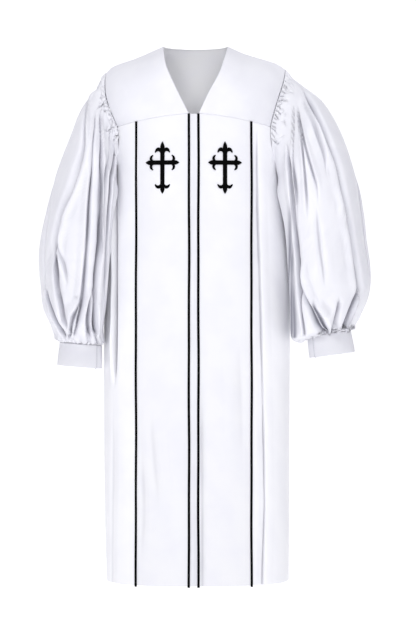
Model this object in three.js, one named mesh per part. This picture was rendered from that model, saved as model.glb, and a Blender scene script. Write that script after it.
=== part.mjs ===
// A pulpit robe in the hollow shape that it has when it is worn: a fitted yoke with a V neck,
// two front panels and a centre band edged with black piping, plain side fronts, a back that hangs
// in flutes, and full bishop sleeves gathered at the armhole and into a narrow cuff.
// A black cross lies on each front panel.
// Sizes are in millimetres. +X is to the right of someone facing the front, -Y is the front and
// +Z is up. The origin lies between the shoulders, level with the neck points.
import * as THREE from "three";

// Cloth and seams
const CLOTH = 1.6;
const CUFF_CLOTH = 2.6;
const SEAM_GAP = 0.3;
const EDGE_BEVEL = 0.5;
const SHOULDER_BEVEL = 2.6;
const ARMHOLE_GAP = 0.8;

// Main sizes
const HEM_Z = -1300;
const BACK_NECK_DEPTH = 66;
const BACK_NECK_RISE = 1;
const BAND_HALF_WIDTH = 11.2;
const PANEL_OUTER_X = 137.5;
const YOKE_SEAM_Z = -175;
const YOKE_SEAM_FALL = 28;
const YOKE_SEAM_END_X = 184;
const BACK_SEAM_Z = -190;
const BACK_SEAM_END_X = 200;
const UNDERARM_Z = -306;
const SLEEVE_TO_BODY = 3;

// Piping sewn into the four front seams
const PIPING_WIDTH = 6;
const PIPING_HEIGHT = 2.4;
const PIPING_PAST_HEM = 2.5;

// Crosses: a bar crossed above the middle, with a spear and two curled petals at each end
const CROSS_HALF_BAR = 4.2;
const CROSS_MIDDLE_X = 74.6;
const CROSS_MIDDLE_Z = -293;
const CROSS_LIFT = 0.5;
const CROSS_THICKNESS = 1.3;
const CROSS_PETAL_ROOT = 28.5;
const CROSS_CURVE_POINTS = 3;

// The arms, anticlockwise from the top one. ending is how long the arm's end is, 1 as listed below.
const CROSS_ARMS = [
  { turn: 0, length: 51, ending: 1 },
  { turn: 90, length: 40.5, ending: 0.68 },
  { turn: 180, length: 75, ending: 0.86 },
  { turn: 270, length: 40.5, ending: 0.68 },
];

// The end of each arm, from the root of a petal round the petal and along the spear to its tip. down
// is measured back from the tip, and the bend is the point that each curve leans towards.
const CROSS_END = [
  { bendX: 5.6, bendDown: 22.6, x: 10.4, down: 21.8 },
  { bendX: 14, bendDown: 21.4, x: 16.8, down: 26.4 },
  { bendX: 18.6, bendDown: 26.2, x: 17.9, down: 24.2 },
  { bendX: 15.6, bendDown: 16.6, x: 9.8, down: 15.9 },
  { bendX: 6.8, bendDown: 15.6, x: 5, down: 17.3 },
  { bendX: 6.2, bendDown: 9.4, x: 0, down: 0 },
];

// How finely the cloth is cut into facets. The body's columns lean from their places on the yoke
// seams and armholes to their places on the hem over the first share of its length.
const YOKE_ROWS = 6;
const YOKE_COLUMNS = 6;
const BACK_NECK_COLUMNS = 8;
const PANEL_COLUMNS = 4;
const BODY_ROWS = [0, 0.03, 0.09, 0.17, 0.26, 0.36, 0.46, 0.57, 0.7, 0.85, 1];
const SIDE_COLUMNS = [0, 0.03, 0.09, 0.15, 0.2, 0.3, 0.36, 0.41, 0.46, 0.55, 0.64, 0.73, 0.86, 1];
const SIDE_COLUMNS_ON_SEAM = 0.3;
const COLUMNS_LEAN = 0.27;
const SLEEVE_POINTS = 56;

// Sections of the body: how far the cloth reaches left, right, forward and back, and how square it is
const BODY_SECTIONS = [
  { z: -140, left: 216, right: 216, front: 110, back: 112, square: 2.4 },
  { z: -200, left: 208, right: 211, front: 119, back: 119, square: 2.5 },
  { z: -306, left: 192, right: 208, front: 129, back: 128, square: 2.6 },
  { z: -390, left: 203, right: 220, front: 132, back: 133, square: 2.6 },
  { z: -480, left: 212, right: 229, front: 134, back: 138, square: 2.6 },
  { z: -590, left: 218, right: 235, front: 136, back: 143, square: 2.6 },
  { z: -720, left: 220, right: 234, front: 138, back: 149, square: 2.6 },
  { z: -1000, left: 219, right: 232, front: 142, back: 158, square: 2.6 },
  { z: -1300, left: 213, right: 231, front: 146, back: 166, square: 2.6 },
];

// Folds of the side fronts. place is the share of the way from the outer piping to the side seam,
// inner and outer the reach to each side of it in the same shares, and depth is inwards.
const SIDE_FOLDS = [
  { side: -1, place: 0.41, inner: 0.1, outer: 0.08, depth: 14, top: -395, full: -620, low: -740, end: -812 },
  { side: -1, place: 0.73, inner: 0.12, outer: 0.13, depth: 7, top: -820, full: -1100, low: -1300, end: -1500 },
  { side: 1, place: 0.15, inner: 0.12, outer: 0.05, depth: 9, top: -250, full: -620, low: -1300, end: -1500 },
  { side: 1, place: 0.64, inner: 0.12, outer: 0.12, depth: 9, top: -700, full: -1050, low: -1300, end: -1500 },
];

// Flutes of the back, gathered under the back yoke. width is a share of the back, depth is at the hem.
const BACK_FLUTES = [
  { width: 0.115, depth: 15 },
  { width: 0.095, depth: 20 },
  { width: 0.12, depth: 17 },
  { width: 0.105, depth: 23 },
  { width: 0.13, depth: 19 },
  { width: 0.1, depth: 24 },
  { width: 0.12, depth: 18 },
  { width: 0.1, depth: 21 },
  { width: 0.115, depth: 16 },
];
const FLUTE_WIDTHS = BACK_FLUTES.reduce((sum, flute) => sum + flute.width, 0);
const FLUTE_POINTS = 4;
const FLUTE_AT_YOKE = 0.22;

// The edges of the yokes: the neck edge from the neck point towards the foot of the V, the shoulder
// seam, and the armhole edges from the shoulder point down. x is the distance from the middle.
const YOKE_EDGES = {
  left: {
    neck: [
      { x: 76, y: 0, z: 0 },
      { x: 73, y: -36, z: -22 },
      { x: 67, y: -66, z: -54 },
      { x: 41, y: -97, z: -114 },
    ],
    shoulder: [
      { x: 76, y: 0, z: 0 },
      { x: 140, y: 1, z: -28 },
      { x: 200, y: 3, z: -50 },
      { x: 215, y: 4, z: -64 },
    ],
    front: [
      { x: 215, y: 4, z: -64 },
      { x: 217, y: -18, z: -92 },
      { x: 213, y: -40, z: -128 },
      { x: 201, y: -58, z: -164 },
    ],
    back: [
      { x: 215, y: 4, z: -64 },
      { x: 217, y: 22, z: -88 },
      { x: 213, y: 36, z: -122 },
      { x: 206, y: 44, z: -158 },
    ],
  },
  right: {
    neck: [
      { x: 83, y: 0, z: 0 },
      { x: 76, y: -38, z: -26 },
      { x: 60, y: -76, z: -74 },
      { x: 36, y: -99, z: -121 },
    ],
    shoulder: [
      { x: 83, y: 0, z: 0 },
      { x: 122, y: 1, z: -17 },
      { x: 206, y: 3, z: -43 },
      { x: 224, y: 4, z: -56 },
    ],
    front: [
      { x: 224, y: 4, z: -56 },
      { x: 217, y: -20, z: -92 },
      { x: 204, y: -42, z: -132 },
      { x: 193, y: -59, z: -168 },
    ],
    back: [
      { x: 224, y: 4, z: -56 },
      { x: 221, y: 22, z: -84 },
      { x: 214, y: 36, z: -120 },
      { x: 207, y: 44, z: -156 },
    ],
  },
};

// Sections of the sleeves, from just below the armhole seam to the cuff seam: how far the outer and
// inner edge lie from the middle of the robe, their heights, and half the size from front to back.
const LEFT_SLEEVE = [
  { outerX: 230, outerZ: -74, innerX: 197, innerZ: -316, depth: 82 },
  { outerX: 239, outerZ: -91, innerX: 192, innerZ: -328, depth: 85 },
  { outerX: 253, outerZ: -116, innerX: 189, innerZ: -342, depth: 92 },
  { outerX: 276, outerZ: -158, innerX: 189, innerZ: -364, depth: 100 },
  { outerX: 304, outerZ: -230, innerX: 192, innerZ: -405, depth: 107 },
  { outerX: 332, outerZ: -308, innerX: 197, innerZ: -450, depth: 112 },
  { outerX: 354, outerZ: -388, innerX: 201, innerZ: -500, depth: 115 },
  { outerX: 370, outerZ: -464, innerX: 205, innerZ: -552, depth: 116 },
  { outerX: 375, outerZ: -524, innerX: 208, innerZ: -602, depth: 114 },
  { outerX: 370, outerZ: -590, innerX: 212, innerZ: -648, depth: 109 },
  { outerX: 366, outerZ: -640, innerX: 216, innerZ: -683, depth: 97 },
  { outerX: 351, outerZ: -676, innerX: 219, innerZ: -706, depth: 77 },
  { outerX: 336, outerZ: -702, innerX: 220, innerZ: -719, depth: 51 },
  { outerX: 324, outerZ: -720, innerX: 220, innerZ: -728, depth: 31 },
];
const RIGHT_SLEEVE = [
  { outerX: 236, outerZ: -65, innerX: 211, innerZ: -316, depth: 82 },
  { outerX: 250, outerZ: -78, innerX: 207, innerZ: -328, depth: 86 },
  { outerX: 271, outerZ: -97, innerX: 205, innerZ: -342, depth: 95 },
  { outerX: 306, outerZ: -132, innerX: 206, innerZ: -366, depth: 105 },
  { outerX: 345, outerZ: -190, innerX: 211, innerZ: -408, depth: 113 },
  { outerX: 374, outerZ: -256, innerX: 217, innerZ: -452, depth: 118 },
  { outerX: 395, outerZ: -327, innerX: 222, innerZ: -500, depth: 121 },
  { outerX: 409, outerZ: -400, innerX: 227, innerZ: -552, depth: 122 },
  { outerX: 415, outerZ: -474, innerX: 230, innerZ: -604, depth: 120 },
  { outerX: 426, outerZ: -556, innerX: 232, innerZ: -654, depth: 114 },
  { outerX: 421, outerZ: -608, innerX: 233, innerZ: -690, depth: 101 },
  { outerX: 406, outerZ: -650, innerX: 239, innerZ: -713, depth: 80 },
  { outerX: 391, outerZ: -675, innerX: 256, innerZ: -716, depth: 54 },
  { outerX: 379, outerZ: -692, innerX: 272, innerZ: -706, depth: 31 },
];

// What both sleeves share in each of those sections. forward is how far the middle lies in front of
// the shoulder and inset how much further forward the inner edge lies. armhole is how much of the
// armhole's own shape is left, cap and cuff how deep the gathers are, and fold how open the folds are.
const SLEEVE_SHAPING = [
  { forward: 2, inset: 10, armhole: 0.85, cap: 3.4, cuff: 0, fold: 0 },
  { forward: 5, inset: 30, armhole: 0.6, cap: 1.6, cuff: 0, fold: 0 },
  { forward: 9, inset: 44, armhole: 0.3, cap: 4.2, cuff: 0, fold: 0.4 },
  { forward: 15, inset: 55, armhole: 0, cap: 2.6, cuff: 0, fold: 0.9 },
  { forward: 22, inset: 60, armhole: 0, cap: 1, cuff: 0, fold: 1 },
  { forward: 28, inset: 64, armhole: 0, cap: 0, cuff: 0, fold: 1 },
  { forward: 34, inset: 63, armhole: 0, cap: 0, cuff: 0, fold: 1 },
  { forward: 39, inset: 60, armhole: 0, cap: 0, cuff: 0, fold: 1 },
  { forward: 43, inset: 56, armhole: 0, cap: 0, cuff: 0.5, fold: 1 },
  { forward: 47, inset: 48, armhole: 0, cap: 0, cuff: 1.5, fold: 1 },
  { forward: 50, inset: 36, armhole: 0, cap: 0, cuff: 3.5, fold: 0.9 },
  { forward: 53, inset: 20, armhole: 0, cap: 0, cuff: 6, fold: 0.6 },
  { forward: 55, inset: 6, armhole: 0, cap: 0, cuff: 5.5, fold: 0.2 },
  { forward: 56, inset: 0, armhole: 0, cap: 0, cuff: 1.6, fold: 0 },
];

// Long folds of the sleeves. Angles are in degrees round the sleeve, 0 on its outer edge, 90 in
// front, 180 on its inner edge and 270 behind; top and end are shares of the sleeve's sections.
const LEFT_SLEEVE_FOLDS = [
  { startAngle: 88, middleAngle: 62, endAngle: 58, width: 15, depth: 15, top: 0.1, end: 1 },
  { startAngle: 102, middleAngle: 108, endAngle: 104, width: 8, depth: 8, top: 0.1, end: 1 },
  { startAngle: 118, middleAngle: 132, endAngle: 128, width: 9, depth: 12, top: 0.1, end: 0.95 },
  { startAngle: 30, middleAngle: 24, endAngle: 34, width: 13, depth: 7, top: 0.5, end: 1 },
  { startAngle: 210, middleAngle: 222, endAngle: 230, width: 12, depth: 10, top: 0.12, end: 1 },
  { startAngle: 244, middleAngle: 258, endAngle: 262, width: 11, depth: 13, top: 0.1, end: 1 },
  { startAngle: 276, middleAngle: 292, endAngle: 296, width: 12, depth: 11, top: 0.1, end: 0.98 },
  { startAngle: 310, middleAngle: 326, endAngle: 322, width: 12, depth: 9, top: 0.2, end: 1 },
];
const RIGHT_SLEEVE_FOLDS = [
  { startAngle: 70, middleAngle: 50, endAngle: 48, width: 10, depth: 13, top: 0.08, end: 1 },
  { startAngle: 96, middleAngle: 92, endAngle: 90, width: 9, depth: 6, top: 0.08, end: 0.55 },
  { startAngle: 112, middleAngle: 112, endAngle: 114, width: 8, depth: 6, top: 0.08, end: 0.6 },
  { startAngle: 150, middleAngle: 146, endAngle: 120, width: 12, depth: 11, top: 0.45, end: 1 },
  { startAngle: 20, middleAngle: 18, endAngle: 26, width: 12, depth: 7, top: 0.3, end: 1 },
  { startAngle: 214, middleAngle: 226, endAngle: 234, width: 12, depth: 11, top: 0.12, end: 1 },
  { startAngle: 248, middleAngle: 262, endAngle: 266, width: 11, depth: 12, top: 0.1, end: 1 },
  { startAngle: 282, middleAngle: 296, endAngle: 300, width: 12, depth: 10, top: 0.1, end: 0.98 },
  { startAngle: 314, middleAngle: 330, endAngle: 326, width: 12, depth: 8, top: 0.2, end: 1 },
];

// Gathers of the sleeves
const CAP_GATHER_END = 112;
const CAP_GATHER_FADE = 24;
const CUFF_GATHERS = 14;

// Cuffs: the four corners seen from the front, and the lap of the closing on the inner edge
const CUFFS = {
  left: {
    top: { outerX: 324, outerZ: -720.8, innerX: 220, innerZ: -728.8, depth: 30 },
    foot: { outerX: 330, outerZ: -777, innerX: 220, innerZ: -785.5, depth: 32 },
  },
  right: {
    top: { outerX: 379, outerZ: -692.8, innerX: 272, innerZ: -706.8, depth: 30 },
    foot: { outerX: 389, outerZ: -745, innerX: 276.5, innerZ: -760, depth: 32 },
  },
};
const CUFF_POINTS = 32;
const CUFF_BELLY = 0.6;
const CUFF_FORWARD = 56;
const LAP_ANGLE = 141;
const LAP_END_ANGLE = 214;
const LAP_STEP = 1.1;
const LAP_EDGE_ANGLE = 3;

const LEFT = -1;
const RIGHT = 1;
const DEGREE = Math.PI / 180;
const { lerp, smoothstep } = THREE.MathUtils;

// Materials
const whiteSatin = () => new THREE.MeshStandardMaterial({ color: 0xf4f4f8, roughness: 0.55 });
const pressedSatin = () => new THREE.MeshStandardMaterial({ color: 0xf7f7fa, roughness: 0.62 });
const blackPiping = () => new THREE.MeshStandardMaterial({ color: 0x0a0a0b, roughness: 0.5 });
const blackThread = () => new THREE.MeshStandardMaterial({ color: 0x060607, roughness: 0.42 });

// Tables and curves

// The row of a table at a value of one of its columns, curved smoothly through the other rows.
function rowAt(table, column, value) {
  const sign = Math.sign(table[1][column] - table[0][column]);
  let i = table.findIndex((row) => sign * (row[column] - value) > 0) - 1;
  if (i === -2) i = table.length - 2;
  i = Math.max(0, i);
  const before = table[Math.max(0, i - 1)];
  const from = table[i];
  const to = table[i + 1];
  const after = table[Math.min(table.length - 1, i + 2)];
  const span = to[column] - from[column];
  const t = THREE.MathUtils.clamp((value - from[column]) / span, 0, 1);
  const row = {};
  for (const key of Object.keys(from)) {
    const startSlope = ((to[key] - before[key]) / (to[column] - before[column])) * span;
    const endSlope = ((after[key] - from[key]) / (after[column] - from[column])) * span;
    row[key] =
      (2 * t ** 3 - 3 * t ** 2 + 1) * from[key] +
      (t ** 3 - 2 * t ** 2 + t) * startSlope +
      (3 * t ** 2 - 2 * t ** 3) * to[key] +
      (t ** 3 - t ** 2) * endSlope;
  }
  row[column] = value;
  return row;
}

// A patch of cloth between four edge curves, s running along the top and bottom, t down the sides.
function patchPoint(top, bottom, start, end, s, t) {
  const across = top(s).multiplyScalar(1 - t).addScaledVector(bottom(s), t);
  const down = start(t).multiplyScalar(1 - s).addScaledVector(end(t), s);
  const corners = top(0)
    .multiplyScalar((1 - s) * (1 - t))
    .addScaledVector(top(1), s * (1 - t))
    .addScaledVector(bottom(0), (1 - s) * t)
    .addScaledVector(bottom(1), s * t);
  return across.add(down).sub(corners);
}

// The body's skin

// How deep a dent is at a distance from its line: 1 on the line, 0 past its reach.
function dent(distance, reach) {
  return Math.abs(distance) < reach ? Math.cos((distance / reach) * 90 * DEGREE) ** 2 : 0;
}

// The depth of the folds of a side front, at a share of the way from the outer piping to the side seam.
function sideFoldDepth(side, share, z) {
  let total = 0;
  for (const fold of SIDE_FOLDS) {
    if (fold.side !== side) continue;
    const along = smoothstep(-z, -fold.top, -fold.full) * (1 - smoothstep(-z, -fold.low, -fold.end));
    const distance = share - fold.place;
    total += fold.depth * along * dent(distance, distance < 0 ? fold.inner : fold.outer);
  }
  return total;
}

// The depth of the back's flutes, at a share of the way across it: a wave with one trough a flute.
function fluteDepth(share, z) {
  let start = 0;
  for (const flute of BACK_FLUTES) {
    const width = flute.width / FLUTE_WIDTHS;
    if (share <= start + width) {
      const wave = (1 - Math.cos(((share - start) / width) * 360 * DEGREE)) / 2;
      const gathered = FLUTE_AT_YOKE * smoothstep(BACK_SEAM_Z - z, 0, 60);
      return flute.depth * wave * (gathered + (1 - FLUTE_AT_YOKE) * smoothstep(-z, 270, -HEM_Z));
    }
    start += width;
  }
  return 0;
}

// The point of the body's cloth at an angle round it, 0 in front and 90 degrees on the right, and a
// height, moved inwards by the depth of a fold.
function bodySkin(angle, z, inward = 0) {
  const section = rowAt(BODY_SECTIONS, "z", z);
  const sine = Math.sin(angle);
  const cosine = Math.cos(angle);
  const reachX = sine < 0 ? section.left : section.right;
  const reachY = cosine > 0 ? section.front : section.back;
  const power = 2 / section.square;
  const x = Math.sign(sine) * Math.abs(sine) ** power;
  const y = -Math.sign(cosine) * Math.abs(cosine) ** power;
  const slope = section.square - 1;
  const outward = new THREE.Vector3(
    (Math.sign(x) * Math.abs(x) ** slope) / reachX,
    (Math.sign(y) * Math.abs(y) ** slope) / reachY,
    0,
  ).normalize();
  return new THREE.Vector3(x * reachX, y * reachY, z).addScaledVector(outward, -inward);
}

// The angle at which the front of the body has a given x.
function angleAtX(x, z) {
  const section = rowAt(BODY_SECTIONS, "z", z);
  const share = Math.min(1, Math.abs(x) / (x < 0 ? section.left : section.right));
  return Math.sign(x) * Math.asin(share ** (section.square / 2));
}

// How far to the side the body reaches at a place.
function bodyReach(side, y, z) {
  const section = rowAt(BODY_SECTIONS, "z", z);
  const share = Math.abs(y) / (y < 0 ? section.front : section.back);
  if (share >= 1) return 0;
  return (side < 0 ? section.left : section.right) * (1 - share ** section.square) ** (1 / section.square);
}

// The height of the front yoke's seam, which is level across the centre band and falls to the sides.
function yokeSeamZ(x) {
  const past = Math.max(0, Math.abs(x) - BAND_HALF_WIDTH) / (YOKE_SEAM_END_X - BAND_HALF_WIDTH);
  return YOKE_SEAM_Z - YOKE_SEAM_FALL * past ** 1.5;
}

const frontSkin = (x, z) => bodySkin(angleAtX(x, z), z);

// The armhole edge of a side front, from the yoke seam (t = 0) to the underarm (t = 1).
function sideArmhole(side, t) {
  const seamZ = yokeSeamZ(YOKE_SEAM_END_X);
  const start = angleAtX(side * YOKE_SEAM_END_X, seamZ);
  const turn = t * 90 * DEGREE;
  return {
    angle: lerp(start, side * 90 * DEGREE, 1 - Math.cos(turn)),
    z: lerp(seamZ, UNDERARM_Z, Math.sin(turn)),
  };
}

// The armhole edge of the back, from the yoke seam to the underarm. It takes up the outermost flute.
function backArmhole(side, t) {
  const start = 180 * DEGREE - angleAtX(side * BACK_SEAM_END_X, BACK_SEAM_Z);
  const end = side > 0 ? 90 * DEGREE : 270 * DEGREE;
  const angle = lerp(start, end, 1 - Math.cos(t * 90 * DEGREE));
  const flute = BACK_FLUTES[side > 0 ? 0 : BACK_FLUTES.length - 1].width / FLUTE_WIDTHS;
  const share = side > 0 ? flute * (1 - t) : 1 - flute * (1 - t);
  return { angle, share, z: lerp(BACK_SEAM_Z, UNDERARM_Z, Math.sin(t * 90 * DEGREE)) };
}

const backSkin = ({ angle, share, z }) => bodySkin(angle, z, fluteDepth(share, z));

// Walls of cloth

// Moves the border points of a grid in, so that the piece ends half a seam gap short of its seam.
function insetBorder(grid, ring, amount) {
  const towards = (p, q) => p.add(q.clone().sub(p).setLength(amount));
  const rows = grid.length;
  const columns = grid[0].length;
  if (!ring)
    for (const row of grid) {
      towards(row[0], row[1]);
      towards(row[columns - 1], row[columns - 2]);
    }
  for (let j = 0; j < columns; j++) {
    towards(grid[0][j], grid[1][j]);
    towards(grid[rows - 1][j], grid[rows - 2][j]);
  }
}

// A closed wall from its outer points: rows from the top down, columns anticlockwise seen from above.
function clothWall(outer, { ring = false, cloth = CLOTH, bevel = EDGE_BEVEL } = {}) {
  insetBorder(outer, ring, SEAM_GAP / 2);
  const rows = outer.length;
  const columns = outer[0].length;
  const last = columns - 1;
  const inner = outer.map((row, i) =>
    row.map((point, j) => {
      const above = outer[Math.max(0, i - 1)][j];
      const below = outer[Math.min(rows - 1, i + 1)][j];
      const before = ring ? row[(j + last) % columns] : row[Math.max(0, j - 1)];
      const after = ring ? row[(j + 1) % columns] : row[Math.min(last, j + 1)];
      const normal = below.clone().sub(above).cross(after.clone().sub(before)).normalize();
      return point.clone().addScaledVector(normal, -cloth);
    }),
  );
  insetBorder(inner, ring, bevel);

  const positions = [...outer, ...inner].flat().flatMap((p) => p.toArray());
  const at = (wall, i, j) => (wall * rows + i) * columns + (j % columns);
  const index = [];
  const quad = (a, b, c, d) => index.push(a, b, c, a, c, d);
  const spans = ring ? columns : last;
  for (let j = 0; j < spans; j++) {
    for (let i = 0; i < rows - 1; i++) {
      quad(at(0, i, j), at(0, i + 1, j), at(0, i + 1, j + 1), at(0, i, j + 1));
      quad(at(1, i, j), at(1, i, j + 1), at(1, i + 1, j + 1), at(1, i + 1, j));
    }
    quad(at(0, 0, j), at(0, 0, j + 1), at(1, 0, j + 1), at(1, 0, j));
    quad(at(0, rows - 1, j), at(1, rows - 1, j), at(1, rows - 1, j + 1), at(0, rows - 1, j + 1));
  }
  if (!ring)
    for (let i = 0; i < rows - 1; i++) {
      quad(at(0, i, 0), at(1, i, 0), at(1, i + 1, 0), at(0, i + 1, 0));
      quad(at(0, i, last), at(0, i + 1, last), at(1, i + 1, last), at(1, i, last));
    }
  return meshGeometry(positions, index);
}

function meshGeometry(positions, index) {
  const geometry = new THREE.BufferGeometry();
  geometry.setAttribute("position", new THREE.Float32BufferAttribute(positions, 3));
  geometry.setIndex(index);
  geometry.computeVertexNormals();
  return geometry;
}

// Columns made outwards from the middle of the robe, put in order from left to right.
const leftToRight = (side, row) => (side > 0 ? row : row.reverse());
const steps = (count) => Array.from({ length: count + 1 }, (_, i) => i / count);

// Yokes

// The curved lines where a yoke meets the other yoke, the body and a sleeve.
function yokeEdges(side) {
  const edges = side < 0 ? YOKE_EDGES.left : YOKE_EDGES.right;
  const curve = (points, last) => {
    const path = points.map(({ x, y, z }) => new THREE.Vector3(side * x, y, z));
    return new THREE.CatmullRomCurve3(last ? [...path, last] : path, false, "centripetal");
  };
  return {
    neck: curve(edges.neck, frontSkin(side * BAND_HALF_WIDTH, YOKE_SEAM_Z)),
    shoulder: curve(edges.shoulder),
    front: curve(edges.front, frontSkin(side * YOKE_SEAM_END_X, yokeSeamZ(YOKE_SEAM_END_X))),
    back: curve(edges.back, backSkin(backArmhole(side, 0))),
  };
}

function frontYoke(side) {
  const { neck, shoulder, front: armhole } = yokeEdges(side);
  const seam = (s) => {
    const x = side * lerp(BAND_HALF_WIDTH, YOKE_SEAM_END_X, s);
    return frontSkin(x, yokeSeamZ(x));
  };
  const point = (s, t) =>
    patchPoint((u) => shoulder.getPoint(u), seam, (u) => neck.getPoint(u), (u) => armhole.getPoint(u), s, t);
  const rows = steps(YOKE_ROWS).map((t) => leftToRight(side, steps(YOKE_COLUMNS).map((s) => point(s, t))));
  return clothWall(rows, { bevel: SHOULDER_BEVEL });
}

function backYoke() {
  const right = yokeEdges(RIGHT);
  const left = yokeEdges(LEFT);
  const shoulderShare = 0.28;
  const neckShare = 1 - 2 * shoulderShare;
  const top = (s) => {
    if (s < shoulderShare) return right.shoulder.getPoint(1 - s / shoulderShare);
    if (s > 1 - shoulderShare) return left.shoulder.getPoint(1 - (1 - s) / shoulderShare);
    const turn = ((s - shoulderShare) / neckShare) * 180 * DEGREE;
    const across = (1 - Math.cos(turn)) / 2;
    return new THREE.Vector3(
      lerp(YOKE_EDGES.right.neck[0].x, -YOKE_EDGES.left.neck[0].x, across),
      BACK_NECK_DEPTH * Math.sin(turn),
      BACK_NECK_RISE * Math.sin(turn),
    );
  };
  const bottom = (s) => bodySkin(lerp(backArmhole(RIGHT, 0).angle, backArmhole(LEFT, 0).angle, s), BACK_SEAM_Z);
  const point = (s, t) =>
    patchPoint(top, bottom, (u) => right.back.getPoint(u), (u) => left.back.getPoint(u), s, t);
  const onShoulder = steps(YOKE_COLUMNS).map((u) => u * shoulderShare);
  const onNeck = steps(BACK_NECK_COLUMNS).slice(1, -1).map((u) => shoulderShare + u * neckShare);
  const places = [...onShoulder, ...onNeck, ...onShoulder.map((u) => 1 - u).reverse()];
  return clothWall(steps(YOKE_ROWS).map((t) => places.map((s) => point(s, t))), { bevel: SHOULDER_BEVEL });
}

// The body below the yokes

// A panel between two upright lines of the front.
function frontPanel(startX, endX, columns) {
  return clothWall(
    BODY_ROWS.map((down) =>
      steps(columns).map((s) => {
        const x = lerp(startX, endX, s);
        return frontSkin(x, lerp(yokeSeamZ(x), HEM_Z, down));
      }),
    ),
  );
}

// The top edge of a side front: first the yoke seam, then the armhole.
function sideTop(side, share) {
  const past = (share - SIDE_COLUMNS_ON_SEAM) / (1 - SIDE_COLUMNS_ON_SEAM);
  if (past > 0) return sideArmhole(side, past);
  const x = side * lerp(PANEL_OUTER_X, YOKE_SEAM_END_X, share / SIDE_COLUMNS_ON_SEAM);
  return { angle: angleAtX(x, yokeSeamZ(x)), z: yokeSeamZ(x) };
}

function sideFront(side) {
  const pipingAngle = (z) => angleAtX(side * PANEL_OUTER_X, z);
  const shareAt = ({ angle, z }) => (angle - pipingAngle(z)) / (side * 90 * DEGREE - pipingAngle(z));
  return clothWall(
    BODY_ROWS.map((down) =>
      leftToRight(
        side,
        SIDE_COLUMNS.map((share) => {
          const top = sideTop(side, share);
          const z = lerp(top.z, HEM_Z, down);
          const placed = lerp(shareAt(top), share, smoothstep(down, 0, COLUMNS_LEAN));
          const angle = lerp(pipingAngle(z), side * 90 * DEGREE, placed);
          return bodySkin(angle, z, sideFoldDepth(side, share, z));
        }),
      ),
    ),
  );
}

// The top edge of the back: the armhole, the yoke seam and the other armhole.
function backTop(share) {
  const right = backArmhole(RIGHT, 0);
  const left = backArmhole(LEFT, 0);
  if (share < right.share) return backArmhole(RIGHT, 1 - share / right.share);
  if (share > left.share) return backArmhole(LEFT, 1 - (1 - share) / (1 - left.share));
  const along = (share - right.share) / (left.share - right.share);
  return { angle: lerp(right.angle, left.angle, along), share, z: BACK_SEAM_Z };
}

function back() {
  const shares = [0];
  for (const { width } of BACK_FLUTES) {
    const step = width / FLUTE_WIDTHS / FLUTE_POINTS;
    for (let i = 0; i < FLUTE_POINTS; i++) shares.push(shares[shares.length - 1] + step);
  }
  shares[shares.length - 1] = 1;
  return clothWall(
    BODY_ROWS.map((down) =>
      shares.map((share) => {
        const top = backTop(share);
        const hanging = lerp(90 * DEGREE, 270 * DEGREE, share);
        const angle = lerp(top.angle, hanging, smoothstep(down, 0, COLUMNS_LEAN));
        return backSkin({ angle, share, z: lerp(top.z, HEM_Z, down) });
      }),
    ),
  );
}

// Sleeves

// The armhole as a closed line of points, from the shoulder point down the front and up the back.
function armholeLine(side) {
  const edges = yokeEdges(side);
  const samples = steps(30);
  const half = (onYoke, onBody) =>
    new THREE.CatmullRomCurve3([
      ...samples.map((t) => onYoke.getPoint(t)),
      ...samples.slice(1).map(onBody),
    ]).getSpacedPoints(SLEEVE_POINTS / 2);
  const front = half(edges.front, (t) => {
    const { angle, z } = sideArmhole(side, t);
    return bodySkin(angle, z);
  });
  const rear = half(edges.back, (t) => backSkin(backArmhole(side, t)));
  return [...front, ...rear.reverse().slice(1, -1)];
}

// Moves a point of a sleeve out, if need be, so that the sleeve lies beside the body.
function besideBody(point, side) {
  const below = smoothstep(-point.z, -UNDERARM_Z - 10, -UNDERARM_Z + 20);
  const least = bodyReach(side, point.y, point.z) + SLEEVE_TO_BODY;
  const short = Math.max(0, least - side * point.x);
  point.x += side * short * below;
  return point;
}

// The angle of a fold at a share of the way down the sleeve.
function foldAngle(fold, down) {
  const { startAngle, middleAngle, endAngle } = fold;
  return down < 0.5 ? lerp(startAngle, middleAngle, down * 2) : lerp(middleAngle, endAngle, down * 2 - 1);
}

function sleeveFoldDepth(folds, degrees, down) {
  let total = 0;
  for (const fold of folds) {
    if (down < fold.top) continue;
    const apart = Math.abs(((degrees - foldAngle(fold, down) + 540) % 360) - 180);
    const opening = smoothstep(down, fold.top, fold.top + 0.15);
    const closing = smoothstep(down, fold.end - 0.02, fold.end + 0.04);
    total += fold.depth * opening * (1 - closing) * dent(apart, fold.width);
  }
  return total;
}

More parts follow.
